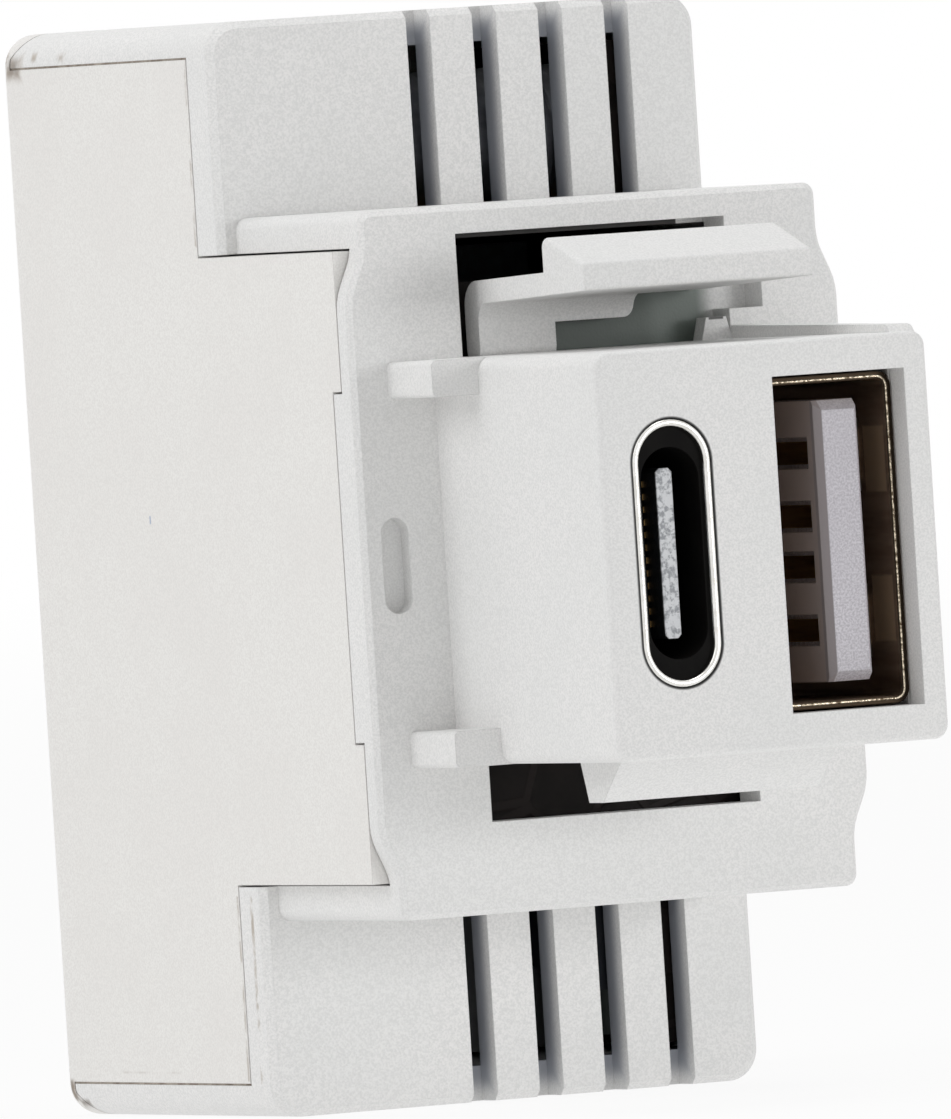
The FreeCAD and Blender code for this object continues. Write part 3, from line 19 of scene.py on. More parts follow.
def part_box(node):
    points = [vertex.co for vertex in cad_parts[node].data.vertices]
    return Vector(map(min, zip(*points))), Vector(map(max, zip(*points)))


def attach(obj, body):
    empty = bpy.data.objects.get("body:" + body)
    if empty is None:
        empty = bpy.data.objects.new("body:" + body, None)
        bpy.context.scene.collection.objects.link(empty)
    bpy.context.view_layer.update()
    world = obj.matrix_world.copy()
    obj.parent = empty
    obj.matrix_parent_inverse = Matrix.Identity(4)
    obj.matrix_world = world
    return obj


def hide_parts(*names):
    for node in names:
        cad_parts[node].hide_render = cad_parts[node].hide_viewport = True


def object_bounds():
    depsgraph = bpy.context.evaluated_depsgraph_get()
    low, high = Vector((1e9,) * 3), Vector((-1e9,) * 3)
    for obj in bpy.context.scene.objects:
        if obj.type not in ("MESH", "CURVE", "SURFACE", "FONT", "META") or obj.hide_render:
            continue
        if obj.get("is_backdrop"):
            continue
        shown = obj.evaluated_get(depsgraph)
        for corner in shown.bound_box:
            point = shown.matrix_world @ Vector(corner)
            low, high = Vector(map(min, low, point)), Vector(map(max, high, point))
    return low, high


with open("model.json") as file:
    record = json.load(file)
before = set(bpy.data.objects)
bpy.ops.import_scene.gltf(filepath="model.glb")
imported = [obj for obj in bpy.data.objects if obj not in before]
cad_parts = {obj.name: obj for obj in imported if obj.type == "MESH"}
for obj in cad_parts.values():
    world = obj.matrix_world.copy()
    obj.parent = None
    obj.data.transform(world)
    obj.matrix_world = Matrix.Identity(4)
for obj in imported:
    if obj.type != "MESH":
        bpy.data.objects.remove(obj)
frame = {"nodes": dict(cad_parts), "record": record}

MM = 0.001
low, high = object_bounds()
CAD_BOX = [list(low), list(high)]
print("pieces in the frame:", len(frame["nodes"]))
print("box in mm:", [round((b - a) / MM, 1) for a, b in zip(*CAD_BOX)])

# %% [markdown]
# ## Two helpers that every material uses
#
# Colours are easiest to pick as the hex values of a paint program, which are
# sRGB. A shader wants linear values, so one function converts them. A node
# tree is a list of nodes with settings and links, and one function is enough
# to add any of them: an input that is given a socket is linked, and an input
# that is given a value is set. Inputs go by name, or by number where a node
# has several of the same name.

# %% Colour and node helpers
def srgb(code):
    """The linear colour, with full alpha, of an sRGB hex value."""
    parts = [int(code[k:k + 2], 16) / 255 for k in (0, 2, 4)]
    return [c / 12.92 if c <= 0.04045 else ((c + 0.055) / 1.055) ** 2.4 for c in parts] + [1.0]


def add(tree, kind, settings=(), inputs=()):
    """Add a node, set its settings, and set or link its inputs."""
    node = tree.nodes.new(kind)
    for name, value in dict(settings).items():
        setattr(node, name, value)
    for name, value in dict(inputs).items():
        if isinstance(value, bpy.types.NodeSocket):
            tree.links.new(value, node.inputs[name])
        else:
            node.inputs[name].default_value = value
    return node


WHITE = srgb("FFFFFF")
print("half-bright grey is", round(srgb("808080")[0], 3), "in linear light")

# %% [markdown]
# ## The camera comes first
#
# A long lens from more than a metre away keeps the module's edges nearly
# parallel, as in a catalogue picture. The viewpoint is given the way a
# photographer would say it: how far round to the left, how high, how much the
# camera leans, how far away, and which point it looks at. The image is taken
# to be 951 by 1119 pixels, so the sensor's 36 mm lie along the height.

# %% Camera
TURN = math.radians(-26.8355)
LIFT = math.radians(1.1118)
LEAN = math.radians(-3.6506)
DISTANCE = 1103.85 * MM
AIM_RIGHT = -5.3619 * MM
AIM_UP = -0.0280 * MM
AIM_BEHIND_LUGS = 3.9 * MM
PIXELS_PER_MM = 25.1856
IMAGE_HEIGHT = 1119
SENSOR = 36.0
CLIP_NEAR = 0.01
CLIP_FAR = 20.0

forward = Vector((-math.sin(TURN) * math.cos(LIFT), math.cos(TURN) * math.cos(LIFT), -math.sin(LIFT)))
right = Vector((math.cos(TURN), math.sin(TURN), 0.0))
up = right.cross(forward)
aim = Vector((0.0, AIM_BEHIND_LUGS, 0.0)) + AIM_RIGHT * right + AIM_UP * up
leaning_right = math.cos(LEAN) * right + math.sin(LEAN) * up
leaning_up = -math.sin(LEAN) * right + math.cos(LEAN) * up

camera_data = bpy.data.cameras.new("portrait")
camera_data.sensor_width = SENSOR
camera_data.lens = PIXELS_PER_MM * DISTANCE / MM * SENSOR / IMAGE_HEIGHT
camera_data.clip_start = CLIP_NEAR
camera_data.clip_end = CLIP_FAR
camera = bpy.data.objects.new("portrait", camera_data)
turn = Matrix((leaning_right, leaning_up, -forward)).transposed().to_4x4()
camera.matrix_world = Matrix.Translation(aim - DISTANCE * forward) @ turn
bpy.context.scene.collection.objects.link(camera)
bpy.context.scene.camera = camera
bpy.context.scene.view_settings.view_transform = "Standard"
print("lens in mm:", round(camera_data.lens, 1))

# %% [markdown]
# ## Light, floor and background
#
# White plastic needs light that wraps round it and still tells its faces
# apart. The module lies on a light table, a pale sheet that glows softly from
# below, so that the faces under the nose are nearly as light as the rest. The
# world is weaker, and three large soft lamps do the modelling: one high on the
# left for the label side, one overhead for the sloping faces of the latch, and
# one level with the module in front on the right, which leaves the block's
# face darker on the far side of the nose. The background is white because the
# floor and the world look white to the camera and in reflections, not because
# more light falls on the module.

# %% World
HORIZON_LEVEL = 0.47
ZENITH_LEVEL = 0.30


def seen_directly(tree):
    """1 for rays from the camera and for rays reflected or let through to it, else 0."""
    path = add(tree, "ShaderNodeLightPath")
    either = add(tree, "ShaderNodeMath", {"operation": "MAXIMUM"},
                 {0: path.outputs["Is Camera Ray"], 1: path.outputs["Is Glossy Ray"]})
    return add(tree, "ShaderNodeMath", {"operation": "MAXIMUM"},
               {0: either.outputs[0], 1: path.outputs["Is Transmission Ray"]}).outputs[0]


world = bpy.data.worlds.new("studio")
world.use_nodes = True
bpy.context.scene.world = world
tree = world.node_tree
tree.nodes.clear()
direction = add(tree, "ShaderNodeTexCoord")
height = add(tree, "ShaderNodeSeparateXYZ", inputs={0: direction.outputs["Generated"]})
level = add(tree, "ShaderNodeMapRange", inputs={
    "Value": height.outputs["Z"], "From Min": 0.0, "From Max": 1.0,
    "To Min": HORIZON_LEVEL, "To Max": ZENITH_LEVEL})
soft = add(tree, "ShaderNodeBackground", inputs={"Color": WHITE, "Strength": level.outputs[0]})
seen = add(tree, "ShaderNodeBackground", inputs={"Color": WHITE, "Strength": 1.0})
both = add(tree, "ShaderNodeMixShader", inputs={
    0: seen_directly(tree), 1: soft.outputs[0], 2: seen.outputs[0]})
add(tree, "ShaderNodeOutputWorld", inputs={"Surface": both.outputs[0]})
print("world level, horizon and zenith:", HORIZON_LEVEL, ZENITH_LEVEL)

# %% Lamps
# The power of a lamp grows with the square of its distance, so that its level
# on the module stays what the table says.
LAMPS = {
    "left_high": {"place": (-0.62, 0.05, 0.42), "size": 0.5, "level": 0.33},
    "overhead": {"place": (0.05, 0.06, 0.80), "size": 0.5, "level": 0.38},
    "front_right": {"place": (0.45, -0.85, 0.05), "size": 0.35, "level": 0.25},
}

for name, facts in LAMPS.items():
    lamp_data = bpy.data.lights.new(name, "AREA")
    lamp_data.size = facts["size"]
    place = Vector(facts["place"])
    lamp_data.energy = facts["level"] * math.pi ** 2 * place.length_squared
    lamp = bpy.data.objects.new(name, lamp_data)
    lamp.matrix_world = Matrix.Translation(place) @ place.to_track_quat("Z", "Y").to_matrix().to_4x4()
    bpy.context.scene.collection.objects.link(lamp)
print("lamps:", len(LAMPS))

# %% Floor
# A pale sheet, lit from below, that keeps a faint shadow near the module and
# fades to plain white further out.
FLOOR_SIZE = 6.0
TABLE_GLOW = 0.58
SEEN_GLOW_NEAR = 0.90
SEEN_GLOW_FAR = 1.0
FADE_START = 0.12
FADE_END = 1.2

shape = bmesh.new()
bmesh.ops.create_grid(shape, x_segments=1, y_segments=1, size=FLOOR_SIZE / 2)
bmesh.ops.translate(shape, verts=shape.verts, vec=(0.0, 0.0, CAD_BOX[0][2]))
floor_mesh = bpy.data.meshes.new("floor")
shape.to_mesh(floor_mesh)
shape.free()
floor = bpy.data.objects.new("floor", floor_mesh)
bpy.context.scene.collection.objects.link(floor)
paper = bpy.data.materials.new("pale_paper_sweep")
paper.use_nodes = True
tree = paper.node_tree
tree.nodes.clear()
matte = add(tree, "ShaderNodeBsdfDiffuse", inputs={"Color": srgb("EFEFEE")})
glow = add(tree, "ShaderNodeEmission", inputs={"Color": WHITE, "Strength": 1.0})
place = add(tree, "ShaderNodeTexCoord").outputs["Object"]
from_middle = add(tree, "ShaderNodeVectorMath", {"operation": "LENGTH"}, {0: place})
seen_glow = add(tree, "ShaderNodeMapRange", {"interpolation_type": "SMOOTHSTEP"}, {
    "Value": from_middle.outputs["Value"], "From Min": FADE_START, "From Max": FADE_END,
    "To Min": SEEN_GLOW_NEAR, "To Max": SEEN_GLOW_FAR})
share = add(tree, "ShaderNodeMix", {"data_type": "FLOAT"},
            {0: seen_directly(tree), 2: TABLE_GLOW, 3: seen_glow.outputs[0]})
both = add(tree, "ShaderNodeMixShader", inputs={
    0: share.outputs[0], 1: matte.outputs[0], 2: glow.outputs[0]})
add(tree, "ShaderNodeOutputMaterial", inputs={"Surface": both.outputs[0]})
floor_mesh.materials.append(paper)
floor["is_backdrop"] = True
print("floor level in mm:", round(CAD_BOX[0][2] / MM, 2))

# %% [markdown]
# ## Smooth shading for constructed pieces
#
# The frame's meshes are loose triangles, so each would show its facets. The
# meshes themselves stay as they are: a small node modifier welds the corners
# and marks only the edges that turn sharply, and a weighted normal keeps flat
# faces flat. Edges with a narrow bevel then look rounded, as on a moulding.

# %% Weld and smooth
SHARP_ANGLE = math.radians(40)
WELD_DISTANCE = 1e-6

welder = bpy.data.node_groups.new("weld_and_smooth", "GeometryNodeTree")
for way in ("INPUT", "OUTPUT"):
    welder.interface.new_socket("Geometry", in_out=way, socket_type="NodeSocketGeometry")
start = add(welder, "NodeGroupInput")
weld = add(welder, "GeometryNodeMergeByDistance",
           inputs={"Geometry": start.outputs[0], "Distance": WELD_DISTANCE})
angle = add(welder, "GeometryNodeInputMeshEdgeAngle")
sharp = add(welder, "FunctionNodeCompare", {"operation": "GREATER_THAN"},
            {0: angle.outputs[0], 1: SHARP_ANGLE})
smooth = add(welder, "GeometryNodeSetShadeSmooth", {"domain": "FACE"},
             {"Geometry": weld.outputs[0], "Shade Smooth": True})
creased = add(welder, "GeometryNodeSetShadeSmooth", {"domain": "EDGE"},
              {"Geometry": smooth.outputs[0], "Selection": sharp.outputs[0], "Shade Smooth": False})
add(welder, "NodeGroupOutput", inputs={0: creased.outputs[0]})

for item in frame["nodes"].values():
    item.modifiers.new("weld_and_smooth", "NODES").node_group = welder
    weighted = item.modifiers.new("weighted_normals", "WEIGHTED_NORMAL")
    weighted.keep_sharp = True
print("smoothed:", len(frame["nodes"]))

# %% [markdown]
# ## How a finish is built up
#
# Every finish starts from a Principled shader with the colour, sheen and
# refraction of the real substance. Its tone drifts slowly between two values,
# and a fine speckle breaks it up, so that no surface is one flat colour. Its
# surface comes from a bevel normal, which softens edges too fine to model,
# and a noise bump. All grain sizes are given in millimetres.

# %% Layers of a finish
CLOUD_DETAIL = 4.0
CLOUD_ROUGHNESS = 0.6
GRAIN_DETAIL = 2.0
EDGE_MM = 0.06
EDGE_SAMPLES = 6
EVEN = (1.0, 1.0, 1.0)


def start_finish(name, roughness, metallic=0.0, ior=1.5, specular=0.5):
    """A new material with a Principled shader; gives the material, its tree and its shader."""
    material = bpy.data.materials.new(name)
    material.use_nodes = True
    shader = material.node_tree.nodes["Principled BSDF"]
    shader.inputs["Roughness"].default_value = roughness
    shader.inputs["Metallic"].default_value = metallic
    shader.inputs["Specular IOR Level"].default_value = specular
    if not metallic:
        shader.inputs["IOR"].default_value = ior
    return material, material.node_tree, shader


def clouds(tree, first, second, cloud_mm, from_low=0.35, from_high=0.65, stretch=EVEN):
    """Two tones that drift into each other in clouds of about so many millimetres."""
    place = add(tree, "ShaderNodeTexCoord").outputs["Object"]
    drawn = add(tree, "ShaderNodeMapping", inputs={"Vector": place, "Scale": stretch})
    noise = add(tree, "ShaderNodeTexNoise", inputs={
        "Vector": drawn.outputs[0], "Scale": 1 / (cloud_mm * MM),
        "Detail": CLOUD_DETAIL, "Roughness": CLOUD_ROUGHNESS})
    step = add(tree, "ShaderNodeMapRange", {"interpolation_type": "SMOOTHSTEP"},
               {"Value": noise.outputs["Fac"], "From Min": from_low, "From Max": from_high})
    return add(tree, "ShaderNodeMix", {"data_type": "RGBA"},
               {0: step.outputs[0], 6: first, 7: second}).outputs[2]


def soften_and_grain(tree, shader, grain_mm, depth_mm, stretch=EVEN):
    """Softened edges under a fine bump."""
    edge = add(tree, "ShaderNodeBevel", {"samples": EDGE_SAMPLES}, {"Radius": EDGE_MM * MM})
    place = add(tree, "ShaderNodeTexCoord").outputs["Object"]
    drawn = add(tree, "ShaderNodeMapping", inputs={"Vector": place, "Scale": stretch})
    noise = add(tree, "ShaderNodeTexNoise", inputs={
        "Vector": drawn.outputs[0], "Scale": 1 / (grain_mm * MM), "Detail": GRAIN_DETAIL})
    bump = add(tree, "ShaderNodeBump", inputs={
        "Height": noise.outputs["Fac"], "Distance": depth_mm * MM, "Normal": edge.outputs[0]})
    tree.links.new(bump.outputs[0], shader.inputs["Normal"])


def cloudy_finish(name, colour, shade, roughness, cloud_mm=2.0, grain_mm=0.2, depth_mm=0.004, **more):
    """A finish whose colour drifts between two tones over a fine grain."""
    material, tree, shader = start_finish(name, roughness, **more)
    tone = clouds(tree, srgb(colour), srgb(shade), cloud_mm)
    tree.links.new(tone, shader.inputs["Base Color"])
    soften_and_grain(tree, shader, grain_mm, depth_mm)
    return material


# %% [markdown]
# ## Marks that are painted by place
#
# Dirt gathers at corners and seams, and painted shade darkens some hollows,
# thin edges and gaps. Such a mark is given as a box in millimetres, in the
# module's own frame. How far a point lies outside the box is the largest of
# its distances along the three axes, and a soft step turns that into a mask.
# A list of marks gives, for each one, the box's two corners, the colour, the
# soft edge, the strength, and the size of the specks it is broken into, or 0 for a plain one.

# %% Mark helpers
BREAK_DETAIL = 3.0
BREAK_LOW = 0.38
BREAK_HIGH = 0.62


def patch(tree, low_mm, high_mm, soft_mm, strength=1.0):
    """As much as the strength inside a box, 0 outside it, with a soft edge."""
    middle = [(a + b) / 2 * MM for a, b in zip(low_mm, high_mm)]
    half = [(b - a) / 2 * MM for a, b in zip(low_mm, high_mm)]
    place = add(tree, "ShaderNodeTexCoord").outputs["Object"]
    away = add(tree, "ShaderNodeVectorMath", {"operation": "SUBTRACT"}, {0: place, 1: middle})
    size = add(tree, "ShaderNodeVectorMath", {"operation": "ABSOLUTE"}, {0: away.outputs[0]})
    beyond = add(tree, "ShaderNodeVectorMath", {"operation": "SUBTRACT"}, {0: size.outputs[0], 1: half})
    parts = add(tree, "ShaderNodeSeparateXYZ", inputs={0: beyond.outputs[0]}).outputs
    widest = add(tree, "ShaderNodeMath", {"operation": "MAXIMUM"}, {0: parts[0], 1: parts[1]})
    widest = add(tree, "ShaderNodeMath", {"operation": "MAXIMUM"}, {0: widest.outputs[0], 1: parts[2]})
    return add(tree, "ShaderNodeMapRange", {"interpolation_type": "SMOOTHSTEP"}, {
        "Value": widest.outputs[0], "From Min": -soft_mm * MM, "From Max": soft_mm * MM,
        "To Min": strength, "To Max": 0.0}).outputs[0]


def paint(tree, tone, code, mask, broken_mm=0.0):
    """Lay a colour over a tone where the mask is, and break it up with noise if asked."""
    if broken_mm:
        place = add(tree, "ShaderNodeTexCoord").outputs["Object"]
        noise = add(tree, "ShaderNodeTexNoise", inputs={
            "Vector": place, "Scale": 1 / (broken_mm * MM), "Detail": BREAK_DETAIL})
        step = add(tree, "ShaderNodeMapRange", {"interpolation_type": "SMOOTHSTEP"},
                   {"Value": noise.outputs["Fac"], "From Min": BREAK_LOW, "From Max": BREAK_HIGH})
        mask = add(tree, "ShaderNodeMath", {"operation": "MULTIPLY"},
                   {0: mask, 1: step.outputs[0]}).outputs[0]
    return add(tree, "ShaderNodeMix", {"data_type": "RGBA"}, {0: mask, 6: tone, 7: srgb(code)}).outputs[2]


def paint_marks(tree, tone, marks):
    """Lay a list of marks over a tone, one after the other."""
    for low_mm, high_mm, code, soft_mm, strength, broken_mm in marks:
        tone = paint(tree, tone, code, patch(tree, low_mm, high_mm, soft_mm, strength), broken_mm)
    return tone


# %% [markdown]
# ## White ABS from a spark-eroded mould
#
# The housing, the latch and the cover are white ABS. The mould was finished
# by spark erosion, which leaves a dull, even grain of some sixty micrometres.
# A picture at this size can't hold that, so it is drawn a little coarser, and
# the eye sees a sandpapery speckle. The cover is a touch warmer.

# %% White plastic
GRAIN_MM = 0.10
GRAIN_DEPTH_MM = 0.010
SMUDGE_MM = 6.0
SPECKLE_MM = 0.09
SPECKLE_LOW = 0.36
SPECKLE_HIGH = 0.64


def start_eroded(name, colour, smudge, speckle, ior=1.53):
    """A spark-eroded plastic with faint smudges and a speckle; gives material, tree, shader and tone."""
    material, tree, shader = start_finish(name, roughness=0.5, ior=ior)
    light = clouds(tree, srgb(colour), srgb(smudge), SMUDGE_MM)
    speckled = clouds(tree, light, srgb(speckle), SPECKLE_MM, from_low=SPECKLE_LOW, from_high=SPECKLE_HIGH)
    soften_and_grain(tree, shader, GRAIN_MM, GRAIN_DEPTH_MM)
    return material, tree, shader, speckled


# %% [markdown]
# ### Marks on the housing
#
# Behind the latch, under its arm, the wall is painted a green-grey shade,
# darker on the left and lighter towards the right. The upper edge of the window
# above it is painted dark as shade, and painted shade turns the walls of the
# slots blue-grey towards the inside. Brown dust sits along the housing's edge
# beside the cover, and rubbed marks on its rear corners. A line of painted
# shade runs round the small port, in the gap where its rim sits in the
# moulding: how far a point of the front face lies from the rim's middle line
# decides how dark it is. A short line of painted shade lies on the step behind the latch.

# %% Housing
DUST = "9C8B78"
RUBBED = "75695E"
HOUSING_SHADE_AND_DUST = [
    # painted shade under the latch's arm, faint and then strong
    ((-2.2, 4.9, 7.6), (5.7, 5.9, 11.4), "747D77", 0.5, 1.0, 0.0),
    ((-2.2, 4.9, 7.6), (3.2, 5.9, 11.4), "606963", 0.5, 1.0, 0.0),
    # painted shade on the upper edge of the window
    ((-5.9, 4.4, 12.6), (4.8, 6.5, 12.99), "1E1A17", 0.04, 1.0, 0.0),
    # painted shade on the walls of the slots, above and below
    ((-7.5, 15.45, -21.3), (10.2, 17.5, 21.3), "A9ACB3", 0.45, 1.0, 0.0),
    # dust along the edge beside the cover
    ((-11.1, 15.75, -20.5), (-10.8, 15.98, -13.0), DUST, 0.06, 0.7, 0.9),
    ((-11.1, 31.9, 20.5), (-10.6, 33.2, 21.0), DUST, 0.35, 0.7, 0.9),
    ((-11.1, 28.0, 20.75), (-10.8, 28.7, 21.0), DUST, 0.20, 0.7, 0.9),
    ((-11.1, 30.6, 20.8), (-10.8, 31.0, 21.1), DUST, 0.15, 0.7, 0.9),
]
CORNER_MARKS = [
    ((-11.1, 33.15, -20.95), (-9.5, 33.4, -20.45), RUBBED, 0.14, 0.75, 0.0),
    ((-11.1, 32.95, -21.25), (-9.5, 33.25, -20.95), RUBBED, 0.14, 0.75, 0.0),
    ((-11.1, 32.15, -21.5), (-9.5, 32.95, -21.25), RUBBED, 0.14, 0.75, 0.0),
    ((-11.1, 32.35, 20.35), (-9.5, 33.1, 20.85), RUBBED, 0.35, 0.75, 0.0),
]
# painted shade: a short dark line on the step behind the latch
LATCH_STEP_PAINTED_SHADE = ((5.05, 3.8, 8.86), (5.7, 4.0, 9.0), "4A4948", 0.03, 1.0, 0.0)
FRONT_FACE = ((-8.0, -10.4, -7.0), (0.0, -9.9, 7.0), 0.05)
RIM_GAP = 0.055 * MM

material, tree, shader, tone = start_eroded("abs_white_spark_eroded", "F0EFEE", "ECECEB", "E0E0DF")
tone = paint_marks(tree, tone, HOUSING_SHADE_AND_DUST + CORNER_MARKS + [LATCH_STEP_PAINTED_SHADE])

rim_low, rim_high = (Vector(corner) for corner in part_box("usb_c_rim"))
rim_middle = (rim_low + rim_high) / 2
rim_radius = (rim_high.x - rim_low.x) / 2
rim_reach = (rim_high.z - rim_low.z) / 2 - rim_radius
place = add(tree, "ShaderNodeTexCoord").outputs["Object"]
away = add(tree, "ShaderNodeVectorMath", {"operation": "SUBTRACT"}, {0: place, 1: rim_middle})
parts = add(tree, "ShaderNodeSeparateXYZ", inputs={0: away.outputs[0]}).outputs
rise = add(tree, "ShaderNodeMath", {"operation": "ABSOLUTE"}, {0: parts[2]})
rise = add(tree, "ShaderNodeMath", {"operation": "SUBTRACT"}, {0: rise.outputs[0], 1: rim_reach})
rise = add(tree, "ShaderNodeMath", {"operation": "MAXIMUM"}, {0: rise.outputs[0], 1: 0.0})
flat = add(tree, "ShaderNodeCombineXYZ", inputs={0: parts[0], 1: rise.outputs[0]})
from_line = add(tree, "ShaderNodeVectorMath", {"operation": "LENGTH"}, {0: flat.outputs[0]})
ring = add(tree, "ShaderNodeMapRange", {"interpolation_type": "SMOOTHSTEP"}, {
    "Value": from_line.outputs["Value"], "From Min": rim_radius + RIM_GAP / 2,
    "From Max": rim_radius + 2 * RIM_GAP, "To Min": 1.0, "To Max": 0.0})
# painted shade: the gap round the small port's rim, dark close to the rim and only on the front face
rim_gap_shade = add(tree, "ShaderNodeMath", {"operation": "MULTIPLY"},
          {0: ring.outputs[0], 1: patch(tree, *FRONT_FACE)})
tone = paint(tree, tone, "2A2A2A", rim_gap_shade.outputs[0])
tree.links.new(tone, shader.inputs["Base Color"])
MATERIALS = {"white_moulding": material}
print("marks on the housing:", len(HOUSING_SHADE_AND_DUST) + len(CORNER_MARKS) + 2)

# %% [markdown]
# ### Marks on the cover
#
# The cover's rear corners have been rubbed brown, where the module slides
# along its neighbours, and a fainter brown follows the seams. One blue speck
# of ink has landed in the middle of the face.

# %% Cover
COVER_DUST = "8C7A67"
COVER_MARKS = [
    # the rear corners
    ((-11.1, 32.1, 20.2), (-10.5, 33.6, 21.2), COVER_DUST, 0.40, 0.9, 0.7),
    ((-11.1, 32.9, -21.5), (-10.5, 33.4, -20.5), COVER_DUST, 0.20, 0.9, 0.7),
    # along the lower seam, and along the front edge above and below the tab
    ((-11.1, 23.2, -20.12), (-10.8, 28.4, -20.08), COVER_DUST, 0.07, 0.35, 0.7),
    ((-11.1, 17.0, 13.0), (-10.8, 17.15, 20.4), COVER_DUST, 0.06, 0.5, 0.7),
    ((-11.1, 17.0, -20.4), (-10.8, 17.15, -13.0), COVER_DUST, 0.06, 0.5, 0.7),
]
INK_SPECK = ((-11.1, 22.72, 2.0), (-10.8, 22.82, 2.3), "7C90B8", 0.05, 0.8, 0.0)

material, tree, shader, tone = start_eroded("abs_warm_white_spark_eroded", "F0EFEC", "EDEBE8", "E5E3E0")
tone = paint_marks(tree, tone, COVER_MARKS + CORNER_MARKS + [INK_SPECK])
tree.links.new(tone, shader.inputs["Base Color"])
MATERIALS["cover_moulding"] = material
print("marks on the cover:", len(COVER_MARKS) + len(CORNER_MARKS) + 1)

# %% [markdown]
# ## Metals of the ports
#
# The flat port's shell is drawn steel with a nickel plating that looks like
# champagne where it catches the light and brown in the dark of the port. Its
# rolling marks run along the strip. Painted highlights lighten it over the
# springs, and a painted reflection under the upper edge. The small port's rim is
# bright polished steel, and the flat contacts have a thin gold flash.

# %% Port metals
LINE_MM = 0.14
LINE_DEPTH_MM = 0.002
LINES_PER_BAND = 6
ALONG_Y = (1.0, 0.12, 1.0)


def rolled_metal(name, colour, shade, roughness):
    """Plated metal with fine rolling marks along Y; gives material, tree, shader and tone."""
    material, tree, shader = start_finish(name, roughness, metallic=1.0)
    tone = clouds(tree, srgb(colour), srgb(shade), LINE_MM * LINES_PER_BAND, stretch=ALONG_Y)
    tree.links.new(tone, shader.inputs["Base Color"])
    soften_and_grain(tree, shader, LINE_MM, LINE_DEPTH_MM, stretch=ALONG_Y)
    return material, tree, shader, tone


SHELL_HIGHLIGHTS_AND_CUT_EDGE = [
    # painted highlights on the two springs, and a painted reflection under the upper edge
    ((5.5, -8.75, 1.8), (6.3, -7.0, 4.4), "DCC7AA", 0.06, 1.0, 0.0),
    ((5.5, -8.75, -4.1), (6.3, -7.0, -1.5), "DCC7AA", 0.06, 1.0, 0.0),
    ((3.0, -8.7, 6.1), (5.2, -8.0, 6.4), "DCC7AA", 0.30, 1.0, 0.0),
    # the dark cut edge all round the mouth
    ((-1.0, -9.2, -7.0), (7.0, -8.98, 7.0), "2F271F", 0.01, 1.0, 0.0),
]
ROLLED_METALS = {
    # slot: material and how it is made, its two tones, roughness
    "gold_contact": ("phosphor_bronze_gold_flashed", "B89763", "86693F", 0.28),
    "bright_rim": ("stainless_steel_polished", "ECEBE8", "DAD8D3", 0.16),
    "tinned_pin": ("brass_tin_plated", "C4C5C6", "A9AAAB", 0.3),
    "bare_can": ("aluminium_deep_drawn", "C9CBCE", "B4B6BA", 0.32),
}

material, tree, shader, tone = rolled_metal("steel_nickel_plated_rolled", "B09C88", "9B8674", 0.34)
tree.links.new(paint_marks(tree, tone, SHELL_HIGHLIGHTS_AND_CUT_EDGE), shader.inputs["Base Color"])
MATERIALS["receptacle_steel"] = material
for slot, facts in ROLLED_METALS.items():
    MATERIALS[slot] = rolled_metal(*facts)[0]
# broken metal at the shear: bright specks and dark pits side by side
MATERIALS["sheared_edge"] = cloudy_finish(
    "steel_nickel_plated_sheared", "FFF1D8", "5A4B39", 0.22,
    cloud_mm=0.13, grain_mm=0.1, depth_mm=0.02, metallic=1.0)
print("metals:", len(ROLLED_METALS) + 2)

# %% [markdown]
# ## Insulators and the parts inside
#
# The flat port's tongue is mauve-grey, with painted shade on the chamfer at
# its tip and on the narrow side that faces the contacts' slot. Little of the
# inside shows: a hint of board through the windows, copper when the latch is
# pressed, and dark slots. Each part still has the substance that a repairer
# would expect, because the module may be looked into from any side.

# %% Insulators
BLADE_PAINTED_SHADE = [
    # painted shade: the chamfer at the tongue's tip, and its narrow side
    ((2.9, -8.6, -6.0), (3.33, -8.05, 6.0), "9C9597", 0.02, 1.0, 0.0),
    ((2.9, -8.05, -6.0), (3.12, 6.0, 6.0), "B0A5A3", 0.02, 1.0, 0.0),
]
PLAIN_FINISHES = {
    # slot: material and how it is made, its two tones, roughness, and what differs
    # dull black that swallows nearly all light
    "black_insulator": ("lcp_black_moulded", "0C0B0B", "121110", 0.6, {"grain_mm": 0.15, "specular": 0.06}),
    # satin mid grey
    "terminal_grey": ("polyamide_grey_moulded", "8B8E90", "7F8284", 0.5, {}),
    # dark grey stone with small clouds
    "ferrite": ("ferrite_ground_dark_grey", "33343A", "27282C", 0.55, {"cloud_mm": 0.5}),
    # glossy strong yellow
    "yellow_tape": ("polyester_tape_yellow_wound", "D9AC2B", "C99B20", 0.3, {"cloud_mm": 3.0}),
    # glossy blue-black
    "capacitor_sleeve": ("pvc_dark_sleeve_shrunk", "23242E", "1B1C24", 0.28, {}),
    # bright orange-brown metal
    "copper_wire": ("copper_enamelled_wound", "C9885F", "A2663F", 0.28, {"cloud_mm": 1.0, "metallic": 1.0}),
    # near-black green, dull
    "component_green": ("cement_dark_green_dipped", "1B2722", "151F1B", 0.6, {}),
    # near-black blue, dull
    "component_blue": ("epoxy_dark_blue_dipped", "10151F", "0C1018", 0.6, {}),
    # sandy brown with small clouds
    "component_tan": ("ceramic_tan_fired", "A18360", "8D7152", 0.5, {"cloud_mm": 0.4}),
}

